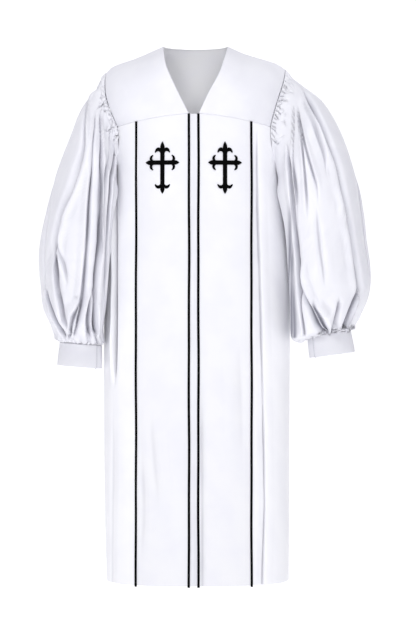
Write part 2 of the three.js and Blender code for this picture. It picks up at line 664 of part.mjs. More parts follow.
function sleeve(side, sections, folds) {
  const armhole = armholeLine(side);
  const armholeMiddle = armhole[0].clone().add(armhole[SLEEVE_POINTS / 2]).multiplyScalar(0.5);
  armholeMiddle.y = 0;
  const rings = [armhole.map((p) => p.clone().add(new THREE.Vector3(side * ARMHOLE_GAP, 0, 0)))];
  sections.forEach((edges, k) => {
    const section = { ...edges, ...SLEEVE_SHAPING[k] };
    const outer = new THREE.Vector3(side * section.outerX, 0, section.outerZ);
    const inner = new THREE.Vector3(side * section.innerX, 0, section.innerZ);
    const middle = outer.clone().add(inner).multiplyScalar(0.5);
    const half = outer.clone().sub(inner).multiplyScalar(0.5);
    const down = (k + 1) / sections.length;
    const shift = middle.clone().sub(armholeMiddle);
    rings.push(
      armhole.map((seamPoint, j) => {
        const degrees = (j / SLEEVE_POINTS) * 360;
        const across = Math.cos(degrees * DEGREE);
        const forward = Math.sin(degrees * DEGREE);
        const round = middle.clone().addScaledVector(half, across);
        round.y = -section.forward - section.inset * ((1 - across) / 2) - section.depth * forward;
        const asArmhole = seamPoint.clone().add(shift);
        const point = round.lerp(asArmhole, section.armhole);
        const outward = half.clone().normalize().multiplyScalar(across);
        outward.y = -forward;
        const fromTop = Math.min(degrees, 360 - degrees);
        const capShare = 1 - smoothstep(fromTop, CAP_GATHER_END, CAP_GATHER_END + CAP_GATHER_FADE);
        const capWave = section.cap * capShare * (j % 2 ? -1 : 1);
        const cuffWave = section.cuff * Math.cos(degrees * CUFF_GATHERS * DEGREE);
        const fold = section.fold * sleeveFoldDepth(folds, degrees, down);
        return besideBody(point.addScaledVector(outward, capWave + cuffWave - fold), side);
      }),
    );
  });
  return clothWall(side < 0 ? rings : rings.map((ring) => ring.reverse()), { ring: true });
}

// Cuffs

// How far the cuff's cloth stands out at an angle: lower where the end laps under.
function lapHeight(degrees) {
  const into = smoothstep(degrees, LAP_ANGLE - LAP_EDGE_ANGLE, LAP_ANGLE);
  const outOf = smoothstep(degrees, LAP_END_ANGLE, LAP_END_ANGLE + 30);
  return -LAP_STEP * (into - outOf);
}

function cuff(side, { top, foot }) {
  const angles = steps(CUFF_POINTS).slice(0, -1).map((share) => share * 360);
  angles.push(LAP_ANGLE - LAP_EDGE_ANGLE, LAP_ANGLE);
  angles.sort((a, b) => a - b);
  const ring = (down) => {
    const belly = CUFF_BELLY * Math.sin(down * 180 * DEGREE);
    const at = (size) => lerp(top[size], foot[size], down);
    const outer = new THREE.Vector3(at("outerX") + belly, 0, at("outerZ"));
    const inner = new THREE.Vector3(at("innerX") - belly, 0, at("innerZ"));
    const middle = outer.clone().add(inner).multiplyScalar(0.5);
    const half = outer.clone().sub(inner).multiplyScalar(0.5);
    const depth = at("depth") + belly;
    return angles.map((degrees) => {
      const size = 1 + lapHeight(degrees) / depth;
      const point = middle.clone().addScaledVector(half, Math.cos(degrees * DEGREE) * size);
      point.x *= side;
      point.y = -CUFF_FORWARD - depth * size * Math.sin(degrees * DEGREE);
      return point;
    });
  };
  const rings = [0, 0.5, 1].map(ring);
  return clothWall(side < 0 ? rings : rings.map((r) => r.reverse()), { ring: true, cloth: CUFF_CLOTH });
}

// Piping

// A low round cord over a seam of the front, from the yoke to just past the hem.
function piping(x) {
  const section = [
    { across: -0.5, out: 0 },
    { across: -0.4, out: 0.7 },
    { across: 0, out: 1 },
    { across: 0.4, out: 0.7 },
    { across: 0.5, out: 0 },
  ];
  const heights = BODY_ROWS.map((down) => lerp(yokeSeamZ(x), HEM_Z, down));
  heights[0] -= SEAM_GAP;
  const rows = heights.map((z) => {
    const middle = frontSkin(x, z);
    const along = frontSkin(x + 1, z).sub(frontSkin(x - 1, z)).normalize();
    const outward = new THREE.Vector3(along.y, -along.x, 0);
    return section.map(({ across, out }) =>
      middle
        .clone()
        .addScaledVector(along, across * PIPING_WIDTH)
        .addScaledVector(outward, SEAM_GAP + out * PIPING_HEIGHT),
    );
  });
  const end = rows[rows.length - 1].map((p) => p.clone().setZ(HEM_Z - PIPING_PAST_HEM));
  rows.push(end);
  const columns = section.length;
  const index = [];
  for (let i = 0; i < rows.length - 1; i++)
    for (let j = 0; j < columns; j++) {
      const a = i * columns + j;
      const b = i * columns + ((j + 1) % columns);
      index.push(a, a + columns, b + columns, a, b + columns, b);
    }
  const lowest = (rows.length - 1) * columns;
  for (let j = 1; j < columns - 1; j++) {
    index.push(0, j, j + 1);
    index.push(lowest, lowest + j + 1, lowest + j);
  }
  return meshGeometry(rows.flat().flatMap((p) => p.toArray()), index);
}

// Crosses

// One side of an arm of the upright cross, as a path outwards: the bar, a curled petal and the spear.
function armOutline({ length, ending }) {
  const barEnd = length - CROSS_PETAL_ROOT * ending;
  const path = new THREE.Path();
  path.moveTo(CROSS_HALF_BAR, CROSS_HALF_BAR);
  path.lineTo(CROSS_HALF_BAR, (CROSS_HALF_BAR + barEnd) / 2);
  path.lineTo(CROSS_HALF_BAR, barEnd);
  for (const { bendX, bendDown, x, down } of CROSS_END) {
    path.quadraticCurveTo(bendX, length - bendDown * ending, x, length - down * ending);
  }
  return path.getPoints(CROSS_CURVE_POINTS);
}

// The whole outline, anticlockwise, from the arms' own outlines turned about the crossing.
function crossOutline() {
  const outline = [];
  for (const arm of CROSS_ARMS) {
    const half = armOutline(arm);
    const whole = [...half, ...half.slice(0, -1).reverse().map((p) => new THREE.Vector2(-p.x, p.y))];
    for (const p of whole) {
      p.rotateAround(new THREE.Vector2(), arm.turn * DEGREE);
      const previous = outline[outline.length - 1];
      if (!previous || previous.distanceTo(p) > 0.01) outline.push(p);
    }
  }
  if (outline[0].distanceTo(outline[outline.length - 1]) < 0.01) outline.pop();
  return outline;
}

// A cross laid on a front panel, following its curve.
function cross(side) {
  const outline = crossOutline();
  const faces = THREE.ShapeUtils.triangulateShape(outline, []);
  const laid = (lift) =>
    outline.map((p) => {
      const point = frontSkin(side * CROSS_MIDDLE_X + p.x, CROSS_MIDDLE_Z + p.y);
      point.y -= lift;
      return point;
    });
  const base = laid(CROSS_LIFT);
  const face = laid(CROSS_LIFT + CROSS_THICKNESS);
  const count = outline.length;
  const index = [];
  for (const [a, b, c] of faces) {
    index.push(a, c, b);
    index.push(count + a, count + b, count + c);
  }
  for (let i = 0; i < count; i++) {
    const j = (i + 1) % count;
    index.push(i, j, count + j, i, count + j, count + i);
  }
  return meshGeometry([...base, ...face].flatMap((p) => p.toArray()), index);
}

// The robe

const robe = new THREE.Group();

function addPiece(name, geometry, material) {
  const mesh = new THREE.Mesh(geometry, material);
  mesh.name = name;
  robe.add(mesh);
}

addPiece("yoke_back", backYoke(), whiteSatin());
addPiece("back", back(), whiteSatin());
addPiece("centre_band", frontPanel(-BAND_HALF_WIDTH, BAND_HALF_WIDTH, 2), whiteSatin());
for (const [word, side] of [["left", LEFT], ["right", RIGHT]]) {
  const sections = side < 0 ? LEFT_SLEEVE : RIGHT_SLEEVE;
  const folds = side < 0 ? LEFT_SLEEVE_FOLDS : RIGHT_SLEEVE_FOLDS;
  const edges = leftToRight(side, [side * BAND_HALF_WIDTH, side * PANEL_OUTER_X]);
  addPiece("yoke_front_" + word, frontYoke(side), whiteSatin());
  addPiece("front_panel_" + word, frontPanel(edges[0], edges[1], PANEL_COLUMNS), pressedSatin());
  addPiece("side_front_" + word, sideFront(side), whiteSatin());
  addPiece("sleeve_" + word, sleeve(side, sections, folds), whiteSatin());
  addPiece("cuff_" + word, cuff(side, CUFFS[word]), whiteSatin());
  addPiece("piping_inner_" + word, piping(side * BAND_HALF_WIDTH), blackPiping());
  addPiece("piping_outer_" + word, piping(side * PANEL_OUTER_X), blackPiping());
  addPiece("cross_" + word, cross(side), blackThread());
}

export default robe;
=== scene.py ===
"""A pulpit robe of white satin with black piping and crosses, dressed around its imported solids.

Sizes are in millimetres unless a name says otherwise. +X is to the right of someone facing the
front, -Y is the front and +Z is up. The origin lies between the shoulders.
"""
import logging
import math
from dataclasses import dataclass, field
from enum import Enum
from typing import Callable, Sequence

import bmesh
import bpy
import numpy as np
from mathutils import Matrix, Quaternion, Vector


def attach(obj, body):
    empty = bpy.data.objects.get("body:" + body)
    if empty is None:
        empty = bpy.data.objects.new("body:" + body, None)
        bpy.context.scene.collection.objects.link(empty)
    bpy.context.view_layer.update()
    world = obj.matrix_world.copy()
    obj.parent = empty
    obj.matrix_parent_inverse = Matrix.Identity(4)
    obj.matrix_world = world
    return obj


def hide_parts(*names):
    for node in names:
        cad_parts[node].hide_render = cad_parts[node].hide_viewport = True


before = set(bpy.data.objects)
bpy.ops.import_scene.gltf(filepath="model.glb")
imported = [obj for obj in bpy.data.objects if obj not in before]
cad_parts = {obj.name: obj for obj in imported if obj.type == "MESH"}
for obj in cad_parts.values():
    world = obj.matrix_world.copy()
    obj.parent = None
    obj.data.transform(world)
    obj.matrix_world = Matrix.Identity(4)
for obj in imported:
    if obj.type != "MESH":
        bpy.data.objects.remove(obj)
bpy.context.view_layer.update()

log = logging.getLogger("pulpit_robe")

Array = np.ndarray
Path = tuple[tuple[float, float], ...]
Spot = tuple[float, float, float]
Material = bpy.types.Material
Piece = bpy.types.Object
Surface = Callable[[Array, Array], Array]

MM = 0.001
TAU = 2 * math.pi

# Half the gap that two pieces keep at the seam between them
HALF_SEAM = 0.15
# How thick one layer of satin is drawn
THIN = 0.9
# The depth of a fold at which its painted shade takes away about two thirds of the light
FOLD_SHADE = 3.0
# The sharp line at the bottom of a fold: its greatest depth, and how wide it is to each side
FOLD_LINE_DEPTH = 5.5
FOLD_LINE_REACH = 2.6
# How much a fold opens towards the viewer, next to 1 away from the cloth
FOLD_FACES_FRONT = 0.9


class Side(Enum):
    """The two sides of the robe, as someone facing its front sees them."""

    LEFT = -1
    RIGHT = 1

    @property
    def word(self) -> str:
        """The side's name in the names of the pieces."""
        return self.name.lower()

    def degrees(self, places: Array) -> Array:
        """Angles round a sleeve or cuff, 0 on its outer edge, 90 in front and 180 on its inner edge."""
        return (180 - self.value * 360 * places) % 360


# Curves and fields


def smoothstep(value: Array | float, low: float, high: float) -> Array:
    """Rises smoothly from 0 to 1 between two values."""
    share = np.clip((np.asarray(value, float) - low) / (high - low), 0, 1)
    return share * share * (3 - 2 * share)


def bell(distance: Array, reach: Array | float) -> Array:
    """A soft hump: 1 at no distance, 0 from its reach on."""
    share = np.clip(distance / reach, -1, 1)
    return np.where(np.abs(distance) < reach, np.cos(share * math.pi / 2) ** 2, 0)


def spread(count: int, *crowds: tuple[float, float, float]) -> Array:
    """Places from 0 to 1 that lie closer together around chosen ones.

    Args:
        count: how many steps there are.
        crowds: the middle, the reach and the extra density of each crowded stretch.

    Returns:
        count + 1 places.
    """
    fine = np.linspace(0, 1, 2001)
    density = np.ones_like(fine)
    for middle, reach, extra in crowds:
        density += extra * np.exp(-(((fine - middle) / reach) ** 2))
    total = np.concatenate([[0], np.cumsum((density[1:] + density[:-1]) / 2)])
    return np.interp(np.linspace(0, total[-1], count + 1), total, fine)


class Course:
    """A table of sizes that runs smoothly through its rows."""

    def __init__(self, places: Sequence[float], rows: Sequence[Sequence[float]]) -> None:
        """Takes the table.

        Args:
            places: the place of each row, rising or falling.
            rows: the rows.
        """
        self.places = np.array(places, float)
        self.rows = np.array(rows, float)
        self.sign = np.sign(self.places[1] - self.places[0])

    def at(self, value: Array | float) -> Array:
        """Reads the table between its rows.

        Args:
            value: the places that are read.

        Returns:
            The sizes at those places, in the last axis.
        """
        value = np.asarray(value, float)
        count = len(self.places)
        i = np.searchsorted(self.sign * self.places, self.sign * value, side="right") - 1
        i = np.clip(i, 0, count - 2)
        before = np.maximum(i - 1, 0)
        after = np.minimum(i + 2, count - 1)
        place, row = self.places, self.rows
        span = (place[i + 1] - place[i])[..., None]
        t = np.clip((value - place[i]) / (place[i + 1] - place[i]), 0, 1)[..., None]
        leave = (row[i + 1] - row[before]) / (place[i + 1] - place[before])[..., None] * span
        arrive = (row[after] - row[i]) / (place[after] - place[i])[..., None] * span
        return (
            (2 * t**3 - 3 * t**2 + 1) * row[i]
            + (t**3 - 2 * t**2 + t) * leave
            + (3 * t**2 - 2 * t**3) * row[i + 1]
            + (t**3 - t**2) * arrive
        )


class Line:
    """A curved edge through points, with bends as even as the distances between them."""

    def __init__(self, points: Sequence[Sequence[float]]) -> None:
        """Adds a point past each end, from which the end gets its direction.

        Args:
            points: the points that it runs through.
        """
        known = np.array(points, float)
        first = 2 * known[0] - known[1]
        last = 2 * known[-1] - known[-2]
        self.points = np.vstack([first, known, last])
        self.spans = len(known) - 1

    def at(self, share: Array | float) -> Array:
        """Reads the line.

        Args:
            share: shares of the way along it.

        Returns:
            The points there.
        """
        place = np.clip(np.asarray(share, float), 0, 1) * self.spans
        i = np.minimum(place.astype(int), self.spans - 1)
        t = (place - i)[..., None]
        p0, p1, p2, p3 = (self.points[i + k] for k in range(4))
        d0, d1, d2 = (
            np.maximum(np.linalg.norm(b - a, axis=-1, keepdims=True), 1e-6) ** 0.5
            for a, b in ((p0, p1), (p1, p2), (p2, p3))
        )
        leave = ((p1 - p0) / d0 - (p2 - p0) / (d0 + d1) + (p2 - p1) / d1) * d1
        arrive = ((p2 - p1) / d1 - (p3 - p1) / (d1 + d2) + (p3 - p2) / d2) * d1
        bend = -3 * p1 + 3 * p2 - 2 * leave - arrive
        turn = 2 * p1 - 2 * p2 + leave + arrive
        return p1 + leave * t + bend * t**2 + turn * t**3


def spaced(points: Array, shares: Array) -> Array:
    """Finds points at shares of the length of a line.

    Args:
        points: the line.
        shares: shares of its length, from 0 to 1.

    Returns:
        The points there.
    """
    lengths = np.concatenate([[0], np.cumsum(np.linalg.norm(np.diff(points, axis=0), axis=1))])
    at = np.asarray(shares) * lengths[-1]
    return np.stack([np.interp(at, lengths, points[:, k]) for k in range(3)], axis=-1)


def drift(places: Array, down: Array, cells: tuple[int, int], seed: int, closed: bool = False) -> Array:
    """A slow uneven field over a piece of cloth, the same on each run.

    Args:
        places: the place of each point across the cloth, from 0 to 1.
        down: the place of each point down the cloth, from 0 to 1.
        cells: how many swells there are across and down.
        seed: which of the fields it is.
        closed: whether the cloth's two sides meet, as on a tube.

    Returns:
        A height from about -1 to 1 at each point.
    """
    across_cells, down_cells = cells
    heights = np.random.default_rng(seed).uniform(-1.6, 1.6, (down_cells + 4, across_cells + 4))
    if closed:
        heights[:, across_cells:] = heights[:, :4]
    total = np.zeros_like(places)
    u = np.clip(places, 0, 1) * across_cells
    v = np.clip(down, 0, 1) * down_cells
    column = u.astype(int)
    row = v.astype(int)
    if closed:
        column, u = column % across_cells, u % across_cells
    else:
        column = np.minimum(column, across_cells - 1)
    row = np.minimum(row, down_cells - 1)

    def weights(f: Array) -> tuple[Array, Array, Array, Array]:
        """The shares of four neighbours in a smooth field."""
        return (
            (1 - f) ** 3 / 6,
            (3 * f**3 - 6 * f**2 + 4) / 6,
            (-3 * f**3 + 3 * f**2 + 3 * f + 1) / 6,
            f**3 / 6,
        )

    for i, share_down in enumerate(weights(v - row)):
        for j, share_across in enumerate(weights(u - column)):
            total += share_down * share_across * heights[row + i, column + j]
    return total


def add_piece(name: str, shape: bmesh.types.BMesh, material: Material) -> Piece:
    """Makes a finished shape an object in the scene.

    Args:
        name: the name of the object.
        shape: its shape, which is used up.
        material: its finish.

    Returns:
        The object.
    """
    mesh = bpy.data.meshes.new(name)
    shape.to_mesh(mesh)
    shape.free()
    mesh.materials.append(material)
    piece = bpy.data.objects.new(name, mesh)
    bpy.context.scene.collection.objects.link(piece)
    return piece


# Cloth


class Edge(Enum):
    """The four edges of a sheet of cloth."""

    TOP = (0, False)
    BOTTOM = (0, True)
    START = (1, False)
    END = (1, True)


@dataclass(frozen=True)
class Crease:
    """A long fold: a valley with a steep wall on one side of it and a slow slope on the other.

    path holds the x and z of its line from the top down, as seen from the front, or from the
    front through the robe if it is behind. depth is that of the valley, slope how wide the slow
    slope is and steep how wide the wall is. side is 1 if the slope lies to the right of the line.
    Past the wall stands a ridge, ridge times as high as the valley is deep, crown wide, and
    rolled over the valley by roll. opens and closes are the lengths over which the fold begins and
    ends. slit times depth is the sharp line at its bottom. line is how strong the painted shade is
    along the fold, band how wide that painted shade is, shift how far it lies up the slope, and
    gloom how strong the painted shade over the slope is.
    """

    path: Path
    depth: float
    slope: float
    steep: float = 6.0
    ridge: float = 0.45
    crown: float = 15.0
    side: int = 1
    roll: float = 0.35
    opens: float = 60.0
    closes: float = 50.0
    behind: bool = False
    slit: float = 0.65
    line: float = 0.45
    band: float = 3.0
    shift: float = 1.5
    gloom: float = 0.0


@dataclass
class Cloth:
    """A sheet of cloth: rows of points from the top down, columns anticlockwise seen from above.

    places holds each point's place across the sheet from 0 to 1, down its place from 0 to 1.
    In a closed sheet the last column is the first one again.
    """

    points: Array
    places: Array
    down: Array
    closed: bool = False
    # Painted shade on each point, from 0 for none to 1 for the full fold colour
    shadow: Array | None = None

    def __post_init__(self) -> None:
        """Starts with no painted shade on the cloth."""
        if self.shadow is None:
            self.shadow = np.zeros(self.places.shape)

    def across(self) -> Array:
        """How far each point lies from the first column, along the cloth."""
        steps = np.linalg.norm(np.diff(self.points, axis=1), axis=2)
        return np.concatenate([np.zeros((len(steps), 1)), np.cumsum(steps, axis=1)], axis=1)

    def along(self) -> Array:
        """How far each point lies below the first row, along the cloth."""
        steps = np.linalg.norm(np.diff(self.points, axis=0), axis=2)
        return np.concatenate([np.zeros((1, steps.shape[1])), np.cumsum(steps, axis=0)])

    def tangent(self) -> Array:
        """The direction along the row at each point.

        Returns:
            Unit vectors.
        """
        p = self.points
        if self.closed:
            p = np.concatenate([p[:, -2:-1], p, p[:, 1:2]], axis=1)
            step = p[:, 2:] - p[:, :-2]
        else:
            step = np.gradient(p, axis=1)
        return step / np.maximum(np.linalg.norm(step, axis=2, keepdims=True), 1e-9)

    def outward(self) -> Array:
        """The direction away from the wearer at each point."""
        out = np.cross(np.gradient(self.points, axis=0), self.tangent())
        return out / np.maximum(np.linalg.norm(out, axis=2, keepdims=True), 1e-9)

    def centre_of(self, crease: Crease) -> tuple[Array, Array]:
        """Finds where a crease crosses each row.

        Args:
            crease: the crease, with its line as seen from the front.

        Returns:
            Its distance from the first column, along the cloth, for each row, and 1 where the row
            reaches it or 0 where it ends before it.
        """
        xs, zs = np.array(crease.path, float).T
        line = np.interp(-self.points[..., 2], -zs, xs)
        past = self.points[..., 0] - line
        faces_back = self.outward()[..., 1] > 0
        apart = np.where(faces_back != crease.behind, 1e4, 0) + np.abs(past)
        row = np.arange(len(past))
        near = np.clip(apart.argmin(axis=1), 1, past.shape[1] - 2)
        before = past[row, near - 1] * past[row, near] < 0
        other = np.where(before, near - 1, near + 1)
        first, second = past[row, near], past[row, other]
        share = np.where(first * second < 0, first / np.where(first == second, 1, first - second), 0)
        across = self.across()
        found = across[row, near] + (across[row, other] - across[row, near]) * share
        reached = 1 - smoothstep(apart.min(axis=1), 3, 30)
        kernel = np.array([1, 2, 3, 4, 3, 2, 1]) / 16

        def evened(values: Array) -> Array:
            """The values, evened from row to row."""
            return np.convolve(np.pad(values, 3, mode="edge"), kernel, mode="valid")

        return evened(found), evened(reached)

    def apart(self, centre: Array) -> Array:
        """How far each point lies to the right of a line, along its row.

        Args:
            centre: where the line crosses each row, measured from the first column.

        Returns:
            The distances, the short way round on a closed sheet.
        """
        across = self.across()
        gap = across - centre[:, None]
        if self.closed:
            whole = across[:, -1:]
            gap = (gap + whole / 2) % whole - whole / 2
        return gap

    def crowd(self, columns: int, creases: Sequence[Crease], reach: float = 7, extra: float = 6) -> "Cloth":
        """Lays the columns closer together along the creases.

        Args:
            columns: how many steps a row has afterwards.
            creases: the creases that the columns follow.
            reach: how far to each side of a crease they are closer.
            extra: how much closer they are.

        Returns:
            The same sheet with other columns.
        """
        across = self.across()
        density = np.ones_like(across)
        z = self.points[..., 2]
        for crease in creases:
            active = smoothstep(crease.path[0][1] - z, -110, 10)
            active = active * (1 - smoothstep(crease.path[-1][1] - z, -10, 110))
            density += extra * active * np.exp(-((self.apart(self.centre_of(crease)[0]) / reach) ** 2))
        # Rows next to each other get nearly the same columns
        smooth = np.array([1, 2, 3, 4, 5, 4, 3, 2, 1]) / 25
        padded = np.pad(density, ((4, 4), (0, 0)), mode="edge")
        density = sum(share * padded[i : i + len(density)] for i, share in enumerate(smooth))
        steps = np.diff(across, axis=1) * (density[:, 1:] + density[:, :-1]) / 2
        weight = np.concatenate([np.zeros((len(steps), 1)), np.cumsum(steps, axis=1)], axis=1)
        wanted = np.linspace(0, 1, columns + 1)
        fields = np.concatenate([self.points, self.places[..., None], self.down[..., None]], axis=2)
        found = np.empty((len(fields), columns + 1, 5))
        for i, row in enumerate(fields):
            for k in range(5):
                found[i, :, k] = np.interp(wanted * weight[i, -1], weight[i], row[:, k])
        return Cloth(found[..., :3], found[..., 3], found[..., 4], self.closed)

    def move(self, lift: Array, slide: Array | float = 0) -> None:
        """Moves each point.

        Args:
            lift: how far out.
            slide: how far to the right.
        """
        outward, tangent = self.outward(), self.tangent()
        slide = np.broadcast_to(slide, lift.shape)
        self.points = self.points + outward * lift[..., None] + tangent * slide[..., None]
        self.close()

    def close(self) -> None:
        """Puts the last column of a closed sheet back on its first."""
        if self.closed:
            self.points[:, -1] = self.points[:, 0]

    def press(self, creases: Sequence[Crease], top_hold: float = 26, foot_hold: float = 0) -> None:
        """Presses creases into the cloth, each with a ridge that rolls over its valley, and paints shade
        along each one.

        Args:
            creases: the creases, which may cross.
            top_hold: how far below the top edge its seam keeps the cloth in place.
            foot_hold: how far above the bottom edge its seam keeps the cloth in place.
        """
        under = self.along()
        held = smoothstep(under, 0, top_hold)
        if foot_hold:
            held = held * smoothstep(under[-1:] - under, 0, foot_hold)
        z = self.points[..., 2]
        outward, tangent = self.outward(), self.tangent()
        moved = np.zeros_like(self.points)
        for number, crease in enumerate(creases):
            # Near the edge of what is seen a fold opens towards the viewer more than to the side
            away = outward + np.array([0, FOLD_FACES_FRONT * (1 if crease.behind else -1), 0])
            away /= np.linalg.norm(away, axis=2, keepdims=True)
            centre, reached = self.centre_of(crease)
            gap = self.apart(centre) * crease.side
            top, end = crease.path[0][1], crease.path[-1][1]
            along = smoothstep(top - z, -crease.opens / 2, crease.opens / 2)
            along = along * (1 - smoothstep(end - z, -crease.closes / 2, crease.closes / 2))
            along = along * (1 + 0.18 * np.sin(z / 41 + 1.7 * number) + 0.1 * np.sin(z / 17 + number))
            along = along * reached[:, None]
            valley = np.where(gap > 0, bell(gap, crease.slope), bell(gap, crease.steep))
            ridge = bell(gap + crease.steep + crease.crown * 0.6, crease.crown)
            line_depth = min(crease.slit * crease.depth, FOLD_LINE_DEPTH)
            fold_line = line_depth * np.exp(-((gap / FOLD_LINE_REACH) ** 2))
            lift = along * (crease.depth * (crease.ridge * ridge - valley) - fold_line) * held
            slide = crease.side * crease.roll * 0.5 * crease.depth * along * ridge * held
            moved += away * lift[..., None] + tangent * slide[..., None]
            # Painted shade: a dark band along the fold's line and a fainter one over its slope, kept in the
            # cloth's shadow
            dark = crease.line * np.exp(-(((gap - crease.shift) / crease.band) ** 2))
            dark = np.maximum(dark, crease.gloom * np.where(gap > 0, bell(gap, crease.slope), 0))
            self.shadow = np.maximum(self.shadow, dark * np.clip(along, 0, 1) * held)
        self.points = self.points + moved
        self.close()

    def dent(
        self, place: float, under: float, lean: float, size: tuple[float, float], depth: float
    ) -> Array:
        """How deep a short slanting dent is at each point.

        Args:
            place: its middle's share of the way across.
            under: how far its middle lies below the top edge.
            lean: how far it slants, in degrees, to the right as it goes down.
            size: half its length and half its width.
            depth: its depth in the middle.

        Returns:
            The depth, all over the sheet.
        """
        down = self.along() - under
        apart = (self.places - place + 0.5) % 1 - 0.5 if self.closed else self.places - place
        apart = apart * self.across()[:, -1:]
        sine, cosine = math.sin(math.radians(lean)), math.cos(math.radians(lean))
        lengthways, crossways = apart * sine + down * cosine, apart * cosine - down * sine
        return depth * np.exp(-((lengthways / size[0]) ** 2) - (crossways / size[1]) ** 2)

    def turn_in(self, edge: Edge, depth: float = 3.2, bend: float = 1.0) -> None:
        """Turns an edge in round a tight bend, as a seam or a hem does.

        Args:
            edge: the edge that is turned in.
            depth: how far the turned part reaches inwards.
            bend: how wide the bend is, 1 for a soft one.
        """
        axis, last = edge.value

        def lines(values: Array) -> Array:
            """Puts the edge's own line first."""
            values = np.moveaxis(values, axis, 0)
            return values[::-1] if last else values

        outward = lines(self.outward())
        found = []
        for values in (self.points, self.places[..., None], self.down[..., None], self.shadow[..., None]):
            first, second = lines(values)[:2]
            reach = np.linalg.norm(lines(self.points)[1] - lines(self.points)[0], axis=-1, keepdims=True)
            reach = np.maximum(reach, 1e-6)
            places = (HALF_SEAM, HALF_SEAM + 0.5, HALF_SEAM + 1.6)
            bent = [first + (second - first) * np.clip(at / reach, 0, 0.95) for at in places]
            if values is self.points:
                bent[0] = bent[0] - outward[0] * 1.5 * bend
                bent[1] = bent[1] - outward[0] * 0.5 * bend
                bent[2] = bent[2] - outward[0] * 0.1 * bend
                under = bent[0] - outward[0] * (depth - 1.5)
            else:
                under = bent[0]
            whole = np.concatenate([np.stack([under, *bent]), lines(values)[1:]])
            whole = whole[::-1] if last else whole
            found.append(np.moveaxis(whole, 0, axis))
        self.points = found[0]
        self.places, self.down, self.shadow = (values[..., 0] for values in found[1:])

    def turn_in_all(self) -> None:
        """Turns in all four edges."""
        for edge in Edge:
            self.turn_in(edge)

    def hollows(self, reach: float = 5) -> Array:
        """How many millimetres each point lies in a fold, below the middle of the cloth around it.

        Args:
            reach: how far to each side the cloth around a point goes.

        Returns:
            The depth at each point, 0 on flat cloth and on ridges.
        """
        outward, across = self.outward(), self.across()
        steps = np.arange(-3 * reach, 3 * reach + 1)
        weight = np.exp(-((steps / reach) ** 2))
        weight /= weight.sum()
        margin = len(steps) // 2
        found = np.zeros(self.points.shape[:2])
        for i, row in enumerate(self.points):
            even = np.arange(0, across[i, -1] + 1, 1.0)
            for k in range(3):
                values = np.interp(even, across[i], row[:, k])
                padded = np.pad(values, margin, mode="wrap" if self.closed else "edge")
                middle = np.interp(across[i], even, np.convolve(padded, weight, mode="valid"))
                found[i] += (middle - row[:, k]) * outward[i, :, k]
        if not self.closed:
            ends = smoothstep(across, 0, 12) * smoothstep(across[:, -1:] - across, 0, 12)
            found = found * ends
        padded = np.pad(found, ((2, 2), (0, 0)), mode="edge")
        rows = len(found)
        found = sum(share * padded[i : i + rows] for i, share in enumerate((0.1, 0.2, 0.4, 0.2, 0.1)))
        return np.maximum(found, 0)

    def area(self) -> float:
        """Measures one face of the cloth.

        Returns:
            The area in square metres.
        """
        a, b, c, d = self.points[:-1, :-1], self.points[1:, :-1], self.points[1:, 1:], self.points[:-1, 1:]
        first = np.linalg.norm(np.cross(b - a, c - a), axis=2)
        second = np.linalg.norm(np.cross(c - a, d - a), axis=2)
        return float((first + second).sum() / 2) * MM * MM

    def cut(self) -> tuple[float, float]:
        """The widest row and the longest column of the cloth, in millimetres."""
        return float(self.across()[:, -1].max()), float(self.along()[-1].max())

    def make(self, name: str, thickness: float, material: Material) -> Piece:
        """Makes the sheet as a thin shell with its own UV map in metres.

        Args:
            name: the name of the piece.
            thickness: the cloth's thickness, laid inwards.
            material: its finish.

        Returns:
            The piece.
        """
        rows, columns = self.points.shape[:2]
        mesh = bpy.data.meshes.new(name)
        grid = bmesh.new()
        bmesh.ops.create_grid(grid, x_segments=columns - 1, y_segments=rows - 1, size=1, calc_uvs=False)
        grid.loops.layers.uv.new("UVMap")
        grid.to_mesh(mesh)
        grid.free()
        mesh.vertices.foreach_set("co", (self.points[::-1] * MM).ravel())
        uv = np.stack([self.across(), -self.along()], axis=2)[::-1].reshape(-1, 2) * MM
        corners = np.empty(len(mesh.loops), int)
        mesh.loops.foreach_get("vertex_index", corners)
        mesh.uv_layers["UVMap"].data.foreach_set("uv", uv[corners].ravel())
        mesh.polygons.foreach_set("use_smooth", np.ones(len(mesh.polygons), bool))
        # Painted shade: each point is darkened the deeper it lies in a fold and where shade is painted in
        # the cloth's shadow, kept as an attribute that the satin's colour reads
        shaded = mesh.attributes.new("painted_fold_shade", "FLOAT", "POINT")
        light = np.exp(-self.hollows() / FOLD_SHADE) * (1 - self.shadow)
        shaded.data.foreach_set("value", (1 - light)[::-1].ravel())
        if self.closed:
            merged = bmesh.new()
            merged.from_mesh(mesh)
            merged.verts.ensure_lookup_table()
            sides = [v for v in merged.verts if v.index % columns in (0, columns - 1)]
            bmesh.ops.remove_doubles(merged, verts=sides, dist=1e-6)
            merged.to_mesh(mesh)
            merged.free()
        mesh.update()
        piece = bpy.data.objects.new(name, mesh)
        bpy.context.scene.collection.objects.link(piece)
        mesh.materials.append(material)
        shell = piece.modifiers.new("shell", "SOLIDIFY")
        shell.thickness = thickness * MM
        shell.offset = -1
        return piece


def sheet_of(point: Surface, columns: Array, rows: Array, closed: bool = False) -> Cloth:
    """Makes a sheet from a function of two places."""
    places, down = np.meshgrid(columns, rows)
    return Cloth(point(places, down), places, down, closed)


# The form that the robe is worn in


